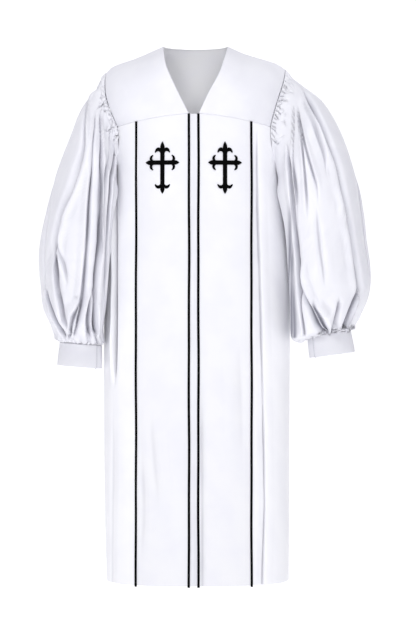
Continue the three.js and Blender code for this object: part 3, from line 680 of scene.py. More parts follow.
@dataclass
class BodyForm:
    """The smooth form of the body of the robe, which the yokes, panels, back and piping follow."""

    hem_z: float = -1300
    band_half_width: float = 11.2
    panel_outer_x: float = 137.5
    yoke_seam_z: float = -175
    yoke_seam_fall: float = 28
    yoke_seam_end_x: float = 184
    back_seam_z: float = -190
    back_seam_end_x: float = 200
    underarm_z: float = -306
    sections: Course = field(
        default_factory=lambda: Course(
            [-140, -200, -306, -390, -480, -590, -720, -1000, -1300],
            [
                (216, 216, 110, 112, 2.4),
                (208, 211, 119, 119, 2.5),
                (192, 208, 129, 128, 2.6),
                (203, 220, 132, 133, 2.6),
                (212, 229, 134, 138, 2.6),
                (218, 235, 136, 143, 2.6),
                (220, 234, 138, 149, 2.6),
                (219, 232, 142, 158, 2.6),
                (213, 231, 146, 166, 2.6),
            ],
        )
    )

    def skin(self, angle: Array, z: Array, inward: Array | float = 0) -> Array:
        """The body's cloth at angles round it and heights.

        Args:
            angle: 0 in front and a quarter turn on the right.
            z: the height.
            inward: how far inside the cloth's outer face the point lies.

        Returns:
            The points.
        """
        angle, z = np.broadcast_arrays(np.asarray(angle, float), np.asarray(z, float))
        left, right, front, back, square = np.moveaxis(self.sections.at(z), -1, 0)
        sine, cosine = np.sin(angle), np.cos(angle)
        reach_x = np.where(sine < 0, left, right)
        reach_y = np.where(cosine > 0, front, back)
        x = np.sign(sine) * np.abs(sine) ** (2 / square)
        y = -np.sign(cosine) * np.abs(cosine) ** (2 / square)
        out_x = np.sign(x) * np.abs(x) ** (square - 1) / reach_x
        out_y = np.sign(y) * np.abs(y) ** (square - 1) / reach_y
        size = np.hypot(out_x, out_y)
        inner_x = x * reach_x - out_x / size * inward
        inner_y = y * reach_y - out_y / size * inward
        return np.stack([inner_x, inner_y, z], axis=-1)

    def angle_at_x(self, x: Array, z: Array) -> Array:
        """Finds a line of the front by its x.

        Args:
            x: how far to the right the line lies.
            z: the heights.

        Returns:
            The angles round the body.
        """
        left, right, _, _, square = np.moveaxis(self.sections.at(z), -1, 0)
        share = np.minimum(1, np.abs(x) / np.where(np.asarray(x) < 0, left, right))
        return np.sign(x) * np.arcsin(share ** (square / 2))

    def reach(self, side: Side, y: Array, z: Array) -> Array:
        """Finds how far to the side the body reaches.

        Args:
            side: the side that is measured.
            y: how far back, from the middle.
            z: the height.

        Returns:
            The distance from the middle.
        """
        left, right, front, back, square = np.moveaxis(self.sections.at(z), -1, 0)
        share = np.clip(np.abs(y) / np.where(y < 0, front, back), 0, 1)
        return (left if side is Side.LEFT else right) * (1 - share**square) ** (1 / square)

    def seam_z(self, x: Array) -> Array:
        """Finds the front yoke's seam.

        Args:
            x: how far to the right.

        Returns:
            The height of the seam, which falls to the sides.
        """
        width = self.yoke_seam_end_x - self.band_half_width
        past = np.maximum(0, np.abs(x) - self.band_half_width) / width
        return self.yoke_seam_z - self.yoke_seam_fall * past**1.5

    def front(self, x: Array, z: Array) -> Array:
        """The points of the front at given x and heights."""
        x, z = np.broadcast_arrays(np.asarray(x, float), np.asarray(z, float))
        return self.skin(self.angle_at_x(x, z), z)

    def side_armhole(self, side: Side, t: Array) -> tuple[Array, Array]:
        """Finds a side front's armhole edge.

        Args:
            side: the side that it is on.
            t: 0 at the yoke seam and 1 under the arm.

        Returns:
            The angle and the height.
        """
        seam_z = self.seam_z(self.yoke_seam_end_x)
        start = self.angle_at_x(side.value * self.yoke_seam_end_x, seam_z)
        turn = np.asarray(t) * math.pi / 2
        angle = start + (side.value * math.pi / 2 - start) * (1 - np.cos(turn))
        return angle, seam_z + (self.underarm_z - seam_z) * np.sin(turn)

    def back_armhole(self, side: Side, t: Array) -> tuple[Array, Array]:
        """Finds the back's armhole edge.

        Args:
            side: the side that it is on.
            t: 0 at the yoke seam and 1 under the arm.

        Returns:
            The angle and the height.
        """
        start = math.pi - self.angle_at_x(side.value * self.back_seam_end_x, self.back_seam_z)
        end = math.pi / 2 if side is Side.RIGHT else 3 * math.pi / 2
        turn = np.asarray(t) * math.pi / 2
        angle = start + (end - start) * (1 - np.cos(turn))
        return angle, self.back_seam_z + (self.underarm_z - self.back_seam_z) * np.sin(turn)


@dataclass
class YokeForm:
    """The edges of the yokes: neck, shoulder seam and armholes, x measured from the middle."""

    body: BodyForm
    neck_depth: float = 66
    neck_rise: float = 1
    shoulder_share: float = 0.28

    def points(self, side: Side) -> dict[str, list[Spot]]:
        """The points that the edges of one side run through."""
        if side is Side.LEFT:
            return {
                "neck": [(76, 0, 0), (73, -36, -22), (67, -66, -54), (41, -97, -114)],
                "shoulder": [(76, 0, 0), (140, 1, -28), (200, 3, -50), (215, 4, -64)],
                "front": [(215, 4, -64), (217, -18, -92), (213, -40, -128), (201, -58, -164)],
                "back": [(215, 4, -64), (217, 22, -88), (213, 36, -122), (206, 44, -158)],
            }
        return {
            "neck": [(83, 0, 0), (76, -38, -26), (60, -76, -74), (36, -99, -121)],
            "shoulder": [(83, 0, 0), (122, 1, -17), (206, 3, -43), (224, 4, -56)],
            "front": [(224, 4, -56), (217, -20, -92), (204, -42, -132), (193, -59, -168)],
            "back": [(224, 4, -56), (221, 22, -84), (214, 36, -120), (207, 44, -156)],
        }

    def edges(self, side: Side) -> dict[str, Line]:
        """Draws the curved edges of one side.

        Args:
            side: the side that they are on.

        Returns:
            The neck, the shoulder and the front and back of the armhole.
        """
        body = self.body
        ends = {
            "neck": body.front(side.value * body.band_half_width, body.yoke_seam_z),
            "front": body.front(side.value * body.yoke_seam_end_x, body.seam_z(body.yoke_seam_end_x)),
            "back": body.skin(*body.back_armhole(side, 0)),
        }
        lines = {}
        for name, points in self.points(side).items():
            path = [(side.value * x, y, z) for x, y, z in points]
            lines[name] = Line([*path, ends[name]] if name in ends else path)
        return lines

    def patch(self, top: Callable, bottom: Callable, start: Line, end: Line) -> Surface:
        """A patch of cloth between four edges.

        Args:
            top: the points of the top edge for places across.
            bottom: the points of the bottom edge for places across.
            start: the edge where the place across is 0.
            end: the edge where it is 1.

        Returns:
            A function from places across and down to points.
        """

        def point(s: Array, t: Array) -> Array:
            """Blends the four edges.

            Args:
                s: places across.
                t: places down.

            Returns:
                The points.
            """
            s1, t1 = s[..., None], t[..., None]
            sides = start.at(t) * (1 - s1) + end.at(t) * s1
            ends = top(s) * (1 - t1) + bottom(s) * t1
            zero, one = np.zeros(1), np.ones(1)
            corners = (
                top(zero)[0] * (1 - s1) * (1 - t1)
                + top(one)[0] * s1 * (1 - t1)
                + bottom(zero)[0] * (1 - s1) * t1
                + bottom(one)[0] * s1 * t1
            )
            return ends + sides - corners

        return point


# Finishes


def add_node(tree: bpy.types.NodeTree, kind: str, settings: dict | None = None, **inputs) -> bpy.types.Node:
    """Adds a node with its settings, values and links.

    Args:
        tree: the material's node tree.
        kind: the node's type.
        settings: attributes that are set on the node.
        inputs: values or sockets for its inputs, by name with underscores for spaces.

    Returns:
        The node.
    """
    node = tree.nodes.new(kind)
    for name, value in (settings or {}).items():
        setattr(node, name, value)
    for name, value in inputs.items():
        key = int(name[1:]) if name[0] == "_" else name.replace("_", " ")
        socket = node.inputs[key]
        if isinstance(value, bpy.types.NodeSocket):
            tree.links.new(value, socket)
        else:
            socket.default_value = value
    return node


def new_material(name: str) -> tuple[Material, bpy.types.NodeTree, bpy.types.Node]:
    """Makes a material.

    Args:
        name: the material's name.

    Returns:
        The material, its node tree and its shader.
    """
    material = bpy.data.materials.new(name)
    material.use_nodes = True
    return material, material.node_tree, material.node_tree.nodes["Principled BSDF"]


def linear(colour: str) -> tuple[float, float, float, float]:
    """Turns an sRGB hex colour to a linear one."""
    parts = [int(colour[i : i + 2], 16) / 255 for i in (1, 3, 5)]
    return (*(p / 12.92 if p <= 0.04045 else ((p + 0.055) / 1.055) ** 2.4 for p in parts), 1.0)


@dataclass(frozen=True)
class WovenSatin:
    """Polyester satin, woven with long floats and pressed.

    The floats give it a smooth sheen with a soft highlight, faint lines along the warp and a
    slight unevenness where it has been handled. Its folds get a painted shade of darker, bluer grey.
    """

    name: str
    colour: str
    shade: str
    roughness: float
    warp_mm: float = 0.9
    cloud_mm: float = 70
    bump: float = 0.12
    glow: float = 0.0
    # The painted shade colour that folds are mixed towards
    painted_fold_shade_colour: str = "#7C7C8A"

    def make(self) -> Material:
        """Builds the material.

        Returns:
            The material, with its warp running down the cloth's UV map.
        """
        material, tree, shader = new_material(self.name)
        uv = add_node(tree, "ShaderNodeTexCoord").outputs["UV"]
        # The warp threads lie 0.2 mm apart in real satin, too fine to show, so they are drawn coarser
        warp = add_node(tree, "ShaderNodeMapping", Vector=uv, Scale=(1 / (self.warp_mm * MM), 45, 1))
        flat = {"noise_dimensions": "2D"}
        threads = add_node(tree, "ShaderNodeTexNoise", flat, Vector=warp.outputs[0], Scale=1.0)
        clouds = add_node(tree, "ShaderNodeMapping", Vector=uv, Scale=(1 / (self.cloud_mm * MM),) * 3)
        cloud = add_node(tree, "ShaderNodeTexNoise", flat, Vector=clouds.outputs[0], Scale=1.0)
        tint = add_node(
            tree,
            "ShaderNodeMix",
            {"data_type": "RGBA"},
            Factor=add_node(tree, "ShaderNodeMapRange", _0=cloud.outputs[0], _1=0.35, _2=0.65).outputs[0],
            _6=linear(self.shade),
            _7=linear(self.colour),
        )
        gloss = add_node(
            tree,
            "ShaderNodeMapRange",
            _0=threads.outputs[0],
            _1=0.2,
            _2=0.8,
            _3=self.roughness - 0.05,
            _4=self.roughness + 0.07,
        )
        relief = add_node(
            tree, "ShaderNodeBump", Height=threads.outputs[0], Strength=self.bump, Distance=0.15 * MM
        )
        # Painted shade: where the piece's attribute marks a fold, the colour is mixed towards a darker,
        # bluer grey, as deep in a fold the cloth only sees cloth
        painted_fold_shade = add_node(tree, "ShaderNodeAttribute", {"attribute_name": "painted_fold_shade"})
        painted_shade_mix = add_node(
            tree,
            "ShaderNodeMix",
            {"data_type": "RGBA"},
            Factor=painted_fold_shade.outputs["Fac"],
            _6=tint.outputs[2],
            _7=linear(self.painted_fold_shade_colour),
        )
        tree.links.new(painted_shade_mix.outputs[2], shader.inputs["Base Color"])
        tree.links.new(gloss.outputs[0], shader.inputs["Roughness"])
        tree.links.new(relief.outputs[0], shader.inputs["Normal"])
        shader.inputs["Subsurface Weight"].default_value = self.glow
        shader.inputs["Subsurface Radius"].default_value = (1.0, 1.0, 1.05)
        shader.inputs["Subsurface Scale"].default_value = 4 * MM
        shader.inputs["IOR"].default_value = 1.5
        return material


@dataclass(frozen=True)
class Thread:
    """Rayon or polyester thread laid side by side, as in piping cloth, satin stitch and sewing.

    Each thread is a round glossy strand, so the surface is a row of fine ridges that shine along
    their length.
    """

    name: str
    colour: str
    shade: str
    roughness: float
    thread_mm: float
    lean: float
    specular: float = 0.5

    def make(self) -> Material:
        """Builds the material.

        Returns:
            The material, with threads across the piece's UV map at its lean.
        """
        material, tree, shader = new_material(self.name)
        uv = add_node(tree, "ShaderNodeTexCoord").outputs["UV"]
        turned = add_node(tree, "ShaderNodeMapping", Vector=uv, Rotation=(0, 0, math.radians(self.lean)))
        strands = add_node(
            tree,
            "ShaderNodeTexWave",
            {"bands_direction": "Y"},
            Vector=turned.outputs[0],
            Scale=math.pi / (10 * self.thread_mm * MM),
            Distortion=0.6,
            Detail=1.0,
        )
        tint = add_node(
            tree,
            "ShaderNodeMix",
            {"data_type": "RGBA"},
            Factor=strands.outputs["Fac"],
            _6=linear(self.shade),
            _7=linear(self.colour),
        )
        relief = add_node(
            tree, "ShaderNodeBump", Height=strands.outputs["Fac"], Strength=0.5, Distance=0.12 * MM
        )
        tree.links.new(tint.outputs[2], shader.inputs["Base Color"])
        tree.links.new(relief.outputs[0], shader.inputs["Normal"])
        shader.inputs["Roughness"].default_value = self.roughness
        shader.inputs["Specular IOR Level"].default_value = self.specular
        return material


@dataclass
class Finishes:
    """The robe's finishes."""

    satin: Material = field(
        default_factory=WovenSatin("woven_satin", "#E8E8ED", "#E4E4EA", roughness=0.42).make
    )
    pressed: Material = field(
        default_factory=WovenSatin("pressed_satin", "#E7E7EA", "#E4E4E9", roughness=0.5, bump=0.06).make
    )
    doubled: Material = field(
        default_factory=WovenSatin("doubled_satin", "#E1E1E6", "#DCDCE2", roughness=0.46, bump=0.08).make
    )
    # Painted light: the back yoke is coloured almost pure white, lighter than the same satin elsewhere, to
    # lift the shade that falls on its inside within the neck
    yoke: Material = field(
        default_factory=WovenSatin(
            "yoke_satin_painted_lighter", "#FDFDFF", "#FBFBFF", roughness=0.46, bump=0.08, glow=0.25
        ).make
    )
    # Painted light: the side fronts and back are coloured lighter than the same satin on the sleeves, to
    # lift the shade on sides that turn away from the lights
    side: Material = field(
        default_factory=WovenSatin("hanging_satin_painted_lighter", "#F1F1F4", "#EEEEF2", roughness=0.42).make
    )
    piping: Material = field(
        default_factory=Thread(
            "black_piping_satin", "#040405", "#020202", roughness=0.7, thread_mm=0.7, lean=45, specular=0.04
        ).make
    )
    embroidery: Material = field(
        default_factory=Thread(
            "black_rayon_thread", "#040405", "#020202", roughness=0.7, thread_mm=0.6, lean=0, specular=0.04
        ).make
    )
    sewing: Material = field(
        default_factory=Thread(
            "white_sewing_thread", "#F2F2F6", "#DCDCE4", roughness=0.5, thread_mm=0.25, lean=30
        ).make
    )


def declare(
    piece: Piece,
    node: str,
    area: float | None = None,
    cut: tuple[float, float] | None = None,
) -> None:
    """Rides a piece on the robe in place of its solid, and logs how many faces it has.

    Args:
        piece: the piece.
        node: the solid that it replaces.
        area: the cut's area in square metres, if it isn't a rectangle; not used.
        cut: the width and length that the cloth was cut to, in millimetres; not used.
    """
    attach(piece, "root")
    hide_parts(node)
    log.info("%s: %d faces", piece.name, len(piece.data.polygons))


# The pieces of cloth


@dataclass
class Yokes:
    """The two front yokes, the back yoke that they are sewn to, and the V neck between them."""

    body: BodyForm
    form: YokeForm
    finishes: Finishes
    front_columns: int = 64
    front_rows: int = 60
    back_columns: int = 190
    back_rows: int = 72
    shoulder_columns: int = 49
    front_cut: tuple[float, float] = (215, 215)
    back_cut: tuple[float, float] = (450, 260)
    sag: float = 1.4

    def front(self, side: Side) -> Piece:
        """Makes one front yoke, with the soft dents that lie between neck and armhole.

        Args:
            side: the side that it is for.

        Returns:
            The piece.
        """
        body = self.body
        edges = self.form.edges(side)
        inner, outer = edges["neck"], edges["front"]

        def seam(s: Array) -> Array:
            """The yoke seam, from the centre band to the armhole."""
            x = side.value * (body.band_half_width + (body.yoke_seam_end_x - body.band_half_width) * s)
            return body.front(x, body.seam_z(x))

        point = self.form.patch(edges["shoulder"].at, seam, inner, outer)
        mirrored = (lambda s, t: point(1 - s, t)) if side is Side.LEFT else point
        cloth = sheet_of(mirrored, spread(self.front_columns), spread(self.front_rows))
        inside = np.sin(cloth.places * math.pi) ** 0.5 * np.sin(cloth.down * math.pi) ** 0.5
        cloth.move(self.sag * inside * drift(cloth.places, cloth.down, (3, 4), 11 + side.value))
        cloth.turn_in_all()
        piece = cloth.make(f"yoke_front_{side.word}_cloth", THIN, self.finishes.satin)
        declare(piece, f"yoke_front_{side.word}", cloth.area(), self.front_cut)
        return piece

    def back(self) -> Piece:
        """Makes the back yoke, from the shoulder seams and the back neck to the gathers.

        Returns:
            The piece.
        """
        body, form = self.body, self.form
        right, left = form.edges(Side.RIGHT), form.edges(Side.LEFT)
        right_x = form.points(Side.RIGHT)["neck"][0][0]
        left_x = -form.points(Side.LEFT)["neck"][0][0]
        share = form.shoulder_share

        def top(s: Array) -> Array:
            """Runs along the right shoulder seam, the back of the neck and the left shoulder seam.

            Args:
                s: places along the three.

            Returns:
                The points.
            """
            turn = np.clip((s - share) / (1 - 2 * share), 0, 1) * math.pi
            across = ((1 - np.cos(turn)) / 2)[..., None]
            neck = np.array([right_x, 0, 0]) * (1 - across) + np.array([left_x, 0, 0]) * across
            neck = neck + np.sin(turn)[..., None] * np.array([0, form.neck_depth, form.neck_rise])
            first = right["shoulder"].at(1 - s / share)
            last = left["shoulder"].at((s - 1 + share) / share)
            return np.where((s < share)[..., None], first, np.where((s > 1 - share)[..., None], last, neck))

        start = float(body.back_armhole(Side.RIGHT, 0)[0])
        end = float(body.back_armhole(Side.LEFT, 0)[0])

        def bottom(s: Array) -> Array:
            """The seam over the gathered back."""
            return body.skin(start + (end - start) * s, np.full_like(s, body.back_seam_z))

        point = form.patch(top, bottom, right["back"], left["back"])
        columns = np.concatenate(
            [
                np.linspace(0, share, self.shoulder_columns + 1)[:-1],
                np.linspace(share, 1 - share, self.back_columns - 2 * self.shoulder_columns),
                np.linspace(1 - share, 1, self.shoulder_columns + 1)[1:],
            ]
        )
        cloth = sheet_of(point, columns, spread(self.back_rows))
        inside = np.sin(cloth.places * math.pi) ** 0.5 * np.sin(cloth.down * math.pi) ** 0.5
        cloth.move(self.sag * inside * drift(cloth.places, cloth.down, (6, 4), 17))
        cloth.turn_in_all()
        piece = cloth.make("yoke_back_cloth", THIN, self.finishes.yoke)
        declare(piece, "yoke_back", cloth.area(), self.back_cut)
        return piece

    def build(self) -> None:
        """Makes the three yokes."""
        self.back()
        for side in Side:
            self.front(side)


@dataclass
class FrontBody:
    """The centre band, the two front panels and the two side fronts, which hang from the yokes."""

    body: BodyForm
    finishes: Finishes
    rows: int = 150
    panel_columns: int = 44
    band_columns: int = 10
    side_columns: int = 110
    fine_columns: int = 260
    on_seam: float = 0.3
    lean: float = 0.27
    swell: float = 1.6

    def panel(
        self,
        node: str,
        start_x: float,
        end_x: float,
        columns: int,
        seed: int,
        recess: float = 0,
        creases: Sequence[Crease] = (),
    ) -> None:
        """Makes a panel between two upright lines of the front.

        Args:
            node: the solid that it replaces.
            start_x: its left line.
            end_x: its right line.
            columns: how many steps lie across it.
            seed: which swells it has.
            recess: how far its middle lies back from the piping beside it.
            creases: its folds.
        """
        body = self.body

        def point(s: Array, t: Array) -> Array:
            """The front at places across and down the panel."""
            x = start_x + (end_x - start_x) * s
            top = body.seam_z(x)
            return body.front(x, top + (body.hem_z - top) * t)

        cloth = sheet_of(point, spread(columns), spread(self.rows, (0, 0.02, 2), (1, 0.02, 2)))
        inside = np.minimum(1, np.sin(cloth.places * math.pi) * 2.2)
        hang = smoothstep(cloth.down, 0.01, 0.2)
        swells = 0.6 * drift(cloth.places, cloth.down, (3, 9), seed)
        swells = swells + 0.4 * drift(cloth.places, cloth.down, (2, 22), seed + 1)
        cloth.move(self.swell * inside * hang * swells - recess * np.sin(cloth.places * math.pi) ** 0.7)
        cloth.press(creases)
        cloth.turn_in_all()
        is_band = node == "centre_band"
        piece = cloth.make(f"{node}_cloth", THIN, self.finishes.satin if is_band else self.finishes.pressed)
        declare(piece, node, None, cloth.cut())

    def side(self, side: Side, creases: Sequence[Crease]) -> None:
        """Makes a side front, from the outer piping round to the side seam.

        Args:
            side: the side that it is for.
            creases: its folds.
        """
        body = self.body
        quarter = side.value * math.pi / 2

        def place_at(angle: Array, z: Array) -> Array:
            """The share of the way from the piping to the side seam."""
            start = body.angle_at_x(side.value * body.panel_outer_x, z)
            return (angle - start) / (quarter - start)

        def point(s: Array, t: Array) -> Array:
            """Draws the side front.

            Args:
                s: places from the piping outwards.
                t: places down the piece.

            Returns:
                The points.
            """
            past = (s - self.on_seam) / (1 - self.on_seam)
            width = body.yoke_seam_end_x - body.panel_outer_x
            x = side.value * (body.panel_outer_x + width * s / self.on_seam)
            seam_z = body.seam_z(x)
            arm_angle, arm_z = body.side_armhole(side, np.clip(past, 0, 1))
            top_angle = np.where(past > 0, arm_angle, body.angle_at_x(x, seam_z))
            top_z = np.where(past > 0, arm_z, seam_z)
            z = top_z + (body.hem_z - top_z) * t
            settled = smoothstep(t, 0, self.lean)
            placed = place_at(top_angle, z) * (1 - settled) + s * settled
            start = body.angle_at_x(side.value * body.panel_outer_x, z)
            return body.skin(start + (quarter - start) * placed, z)

        ordered = point if side is Side.RIGHT else (lambda s, t: point(1 - s, t))
        cloth = sheet_of(ordered, spread(self.fine_columns), spread(self.rows, (0, 0.08, 2), (1, 0.02, 1)))
        cloth = cloth.crowd(self.side_columns, creases)
        cloth.press(creases)
        inside = np.minimum(1, np.sin(cloth.places * math.pi) * 1.5)
        swells = drift(cloth.places, cloth.down, (3, 7), 31 + side.value)
        swells = swells + 0.3 * drift(cloth.places, cloth.down, (6, 18), 37 + side.value)
        cloth.move(self.swell * inside * smoothstep(cloth.down, 0.02, 0.3) * swells)
        cloth.turn_in_all()
        piece = cloth.make(f"side_front_{side.word}_cloth", THIN, self.finishes.side)
        declare(piece, f"side_front_{side.word}", cloth.area(), cloth.cut())

    def build(self) -> None:
        """Makes the five pieces of the front."""
        body = self.body
        inner, outer = body.band_half_width, body.panel_outer_x
        self.panel("centre_band", -inner, inner, self.band_columns, 41, recess=1.6)
        self.panel("front_panel_left", -outer, -inner, self.panel_columns, 43, creases=LEFT_PANEL_CREASES)
        self.panel("front_panel_right", inner, outer, self.panel_columns, 47, creases=RIGHT_PANEL_CREASES)
        self.side(Side.LEFT, LEFT_SIDE_CREASES)
        self.side(Side.RIGHT, RIGHT_SIDE_CREASES)


LEFT_SIDE_CREASES = (
    Crease(
        ((-187, -400), (-186, -480), (-187, -600), (-189, -800)),
        depth=11, slope=12, ridge=1.1, opens=120, closes=60, line=0.15,
    ),
    Crease(
        ((-193, -900), (-196, -1080), (-198, -1310)),
        depth=3, slope=26, steep=14, ridge=0.25, opens=260, closes=10, slit=0, line=0.08,
    ),
)
RIGHT_SIDE_CREASES = (
    Crease(
        ((152, -260), (153, -400), (158, -560), (163, -740), (169, -1010), (170, -1120), (164, -1310)),
        depth=5, slope=22, steep=4, ridge=0.25, side=-1, opens=120, closes=10, line=0.12,
    ),
)
RIGHT_PANEL_CREASES = (
    Crease(
        ((17.5, -880), (18, -1000), (19, -1150), (19, -1310)),
        depth=3, slope=14, steep=3, ridge=0.1, opens=200, closes=10, slit=0, line=0.08,
    ),
    Crease(
        ((106, -760), (110, -860), (112, -960)),
        depth=2, slope=22, steep=18, ridge=0.3, opens=120, closes=120, slit=0, line=0.08,
    ),
)
LEFT_PANEL_CREASES = (
    Crease(
        ((-98, -930), (-92, -1010), (-84, -1080)),
        depth=2.2, slope=20, steep=14, ridge=0.3, side=-1, opens=120, closes=120, slit=0, line=0.08,
    ),
    Crease(
        ((-122, -1020), (-118, -1120), (-122, -1200)),
        depth=2, slope=16, steep=12, ridge=0.3, opens=120, closes=120, slit=0, line=0.08,
    ),
)


@dataclass
class Back:
    """The back, gathered under its yoke and hanging in nine uneven flutes."""

    body: BodyForm
    finishes: Finishes
    widths: tuple[float, ...] = (0.115, 0.095, 0.12, 0.105, 0.13, 0.1, 0.12, 0.1, 0.115)
    depths: tuple[float, ...] = (15, 20, 17, 23, 19, 24, 18, 21, 16)
    at_yoke: float = 0.22
    lean: float = 0.27
    columns: int = 270
    rows: int = 140
    gathers: int = 46

    def flute_depth(self, share: Array, z: Array) -> Array:
        """Finds how deep the flutes are.

        Args:
            share: places across the back.
            z: heights.

        Returns:
            The depths.
        """
        total = sum(self.widths)
        start = 0.0
        depth = np.zeros_like(share)
        for width, deep in zip(self.widths, self.depths):
            width = width / total
            inside = (share >= start) & (share <= start + width)
            wave = (1 - np.cos((share - start) / width * TAU)) / 2
            depth = np.where(inside, deep * wave, depth)
            start += width
        gathered = self.at_yoke * smoothstep(self.body.back_seam_z - z, 0, 60)
        return depth * (gathered + (1 - self.at_yoke) * smoothstep(-z, 270, -self.body.hem_z))

    def point(self, share: Array, t: Array) -> Array:
        """Draws the back.

        Args:
            share: places from the right side seam to the left one.
            t: places down the back.

        Returns:
            The points.
        """
        body = self.body
        first = self.widths[0] / sum(self.widths)
        last = 1 - self.widths[-1] / sum(self.widths)
        right_angle, right_z = body.back_armhole(Side.RIGHT, np.clip(1 - share / first, 0, 1))
        left_angle, left_z = body.back_armhole(Side.LEFT, np.clip(1 - (1 - share) / (1 - last), 0, 1))
        start, end = body.back_armhole(Side.RIGHT, 0)[0], body.back_armhole(Side.LEFT, 0)[0]
        between = start + (end - start) * (share - first) / (last - first)
        top_angle = np.where(share < first, right_angle, np.where(share > last, left_angle, between))
        top_z = np.where(share < first, right_z, np.where(share > last, left_z, body.back_seam_z))
        z = top_z + (body.hem_z - top_z) * t
        hanging = math.pi / 2 + math.pi * share
        angle = top_angle + (hanging - top_angle) * smoothstep(t, 0, self.lean)
        return body.skin(angle, z, self.flute_depth(share, z))

    def build(self) -> None:
        """Makes the back with its fine gathers, which run out into the flutes."""
        cloth = sheet_of(self.point, spread(self.columns), spread(self.rows, (0, 0.06, 3), (1, 0.02, 1)))
        chance = np.random.default_rng(53)
        lift = np.zeros_like(cloth.places)
        under = cloth.along()
        width = cloth.across()[:, -1:]
        for number in range(self.gathers):
            place = 0.1 + 0.8 * (number + chance.uniform(-0.3, 0.3)) / (self.gathers - 1)
            length = chance.uniform(40, 210)
            lean = chance.uniform(-0.012, 0.012)
            depth = chance.uniform(1.6, 3.4)
            apart = (cloth.places - place - lean * under / 100) * width
            reach = 3.2 + under * 0.045
            gather = depth * bell(apart, reach) * (1 - smoothstep(under, length * 0.3, length))
            lift -= gather * smoothstep(under, 0, 4)
        puff = 3.0 * smoothstep(under, 0, 14) * (1 - smoothstep(under, 14, 120))
        inside = smoothstep(cloth.places, 0.08, 0.13) * (1 - smoothstep(cloth.places, 0.87, 0.92))
        swells = drift(cloth.places, cloth.down, (14, 6), 59) * smoothstep(cloth.down, 0.03, 0.3)
        cloth.move(lift + puff * inside + 2.5 * swells * np.minimum(1, np.sin(cloth.places * math.pi) * 3))
        cloth.turn_in_all()
        piece = cloth.make("back_cloth", THIN, self.finishes.side)
        declare(piece, "back", cloth.area(), cloth.cut())


# Sleeves and cuffs

LEFT_CREASES = (
    Crease(
        (
            (-254, -110), (-257, -200), (-254, -258), (-271, -320),
            (-290, -375), (-310, -416), (-322, -466), (-328, -540),
        ),
        depth=22, slope=34, steep=5, crown=16, side=-1, roll=0.5, opens=80, closes=70, line=0.75,
        band=4.2, shift=5, gloom=0.16,
    ),
    Crease(
        ((-326, -490), (-327, -584), (-314, -640), (-307, -685)),
        depth=17, slope=17, steep=5, ridge=0.5, crown=16, roll=0.6, closes=30, line=0.55, shift=4,
    ),
    Crease(
        ((-188, -205), (-191, -280), (-197, -360), (-206, -480), (-212, -600)),
        depth=10, slope=9, steep=4, ridge=0.5, crown=8, side=-1, roll=0.5, closes=90,
    ),
    Crease(
        (
            (-237, -184), (-241, -284), (-248, -384), (-252, -500),
            (-260, -598), (-274, -663), (-290, -714),
        ),
        depth=12, slope=13, steep=4, ridge=0.5, crown=11, roll=0.7, closes=20,
    ),
    Crease(
        (
            (-224, -188), (-218, -260), (-217, -368), (-219, -485),
            (-228, -555), (-230, -603), (-232, -700),
        ),
        depth=21, slope=17, steep=4.5, ridge=0.5, crown=13, side=-1, roll=0.8, closes=20,
    ),
    Crease(
        ((-203, -230), (-207, -320), (-210, -420), (-213, -520), (-217, -610), (-224, -711)),
        depth=11, slope=12, steep=5, ridge=0.4, crown=11, roll=0.5, closes=30,
    ),
    Crease(
        ((-236, -598), (-244, -620), (-250, -656), (-253, -716)),
        depth=14, slope=13, steep=4.5, ridge=0.5, crown=11, roll=0.7, opens=16, closes=14,
    ),
    Crease(
        ((-273, -632), (-284, -648), (-295, -682), (-302, -716)),
        depth=14, slope=13, steep=4.5, ridge=0.5, crown=11, roll=0.7, opens=16, closes=14,
    ),
    Crease(
        ((-355, -598), (-346, -627), (-332, -667), (-309, -711)),
        depth=14, slope=15, steep=5, ridge=0.5, crown=12, roll=0.6, opens=20, closes=14,
    ),
    Crease(
        ((-339, -330), (-352, -420), (-360, -500), (-357, -560)),
        depth=6, slope=20, steep=12, ridge=0.3, crown=16, side=-1, roll=0.1, opens=110, closes=90,
        line=0.05,
    ),
    Crease(
        ((-322, -470), (-312, -515), (-299, -565)),
        depth=5, slope=12, steep=7, ridge=0.4, crown=12, roll=0.3, opens=50, closes=60, line=0.2,
    ),
)
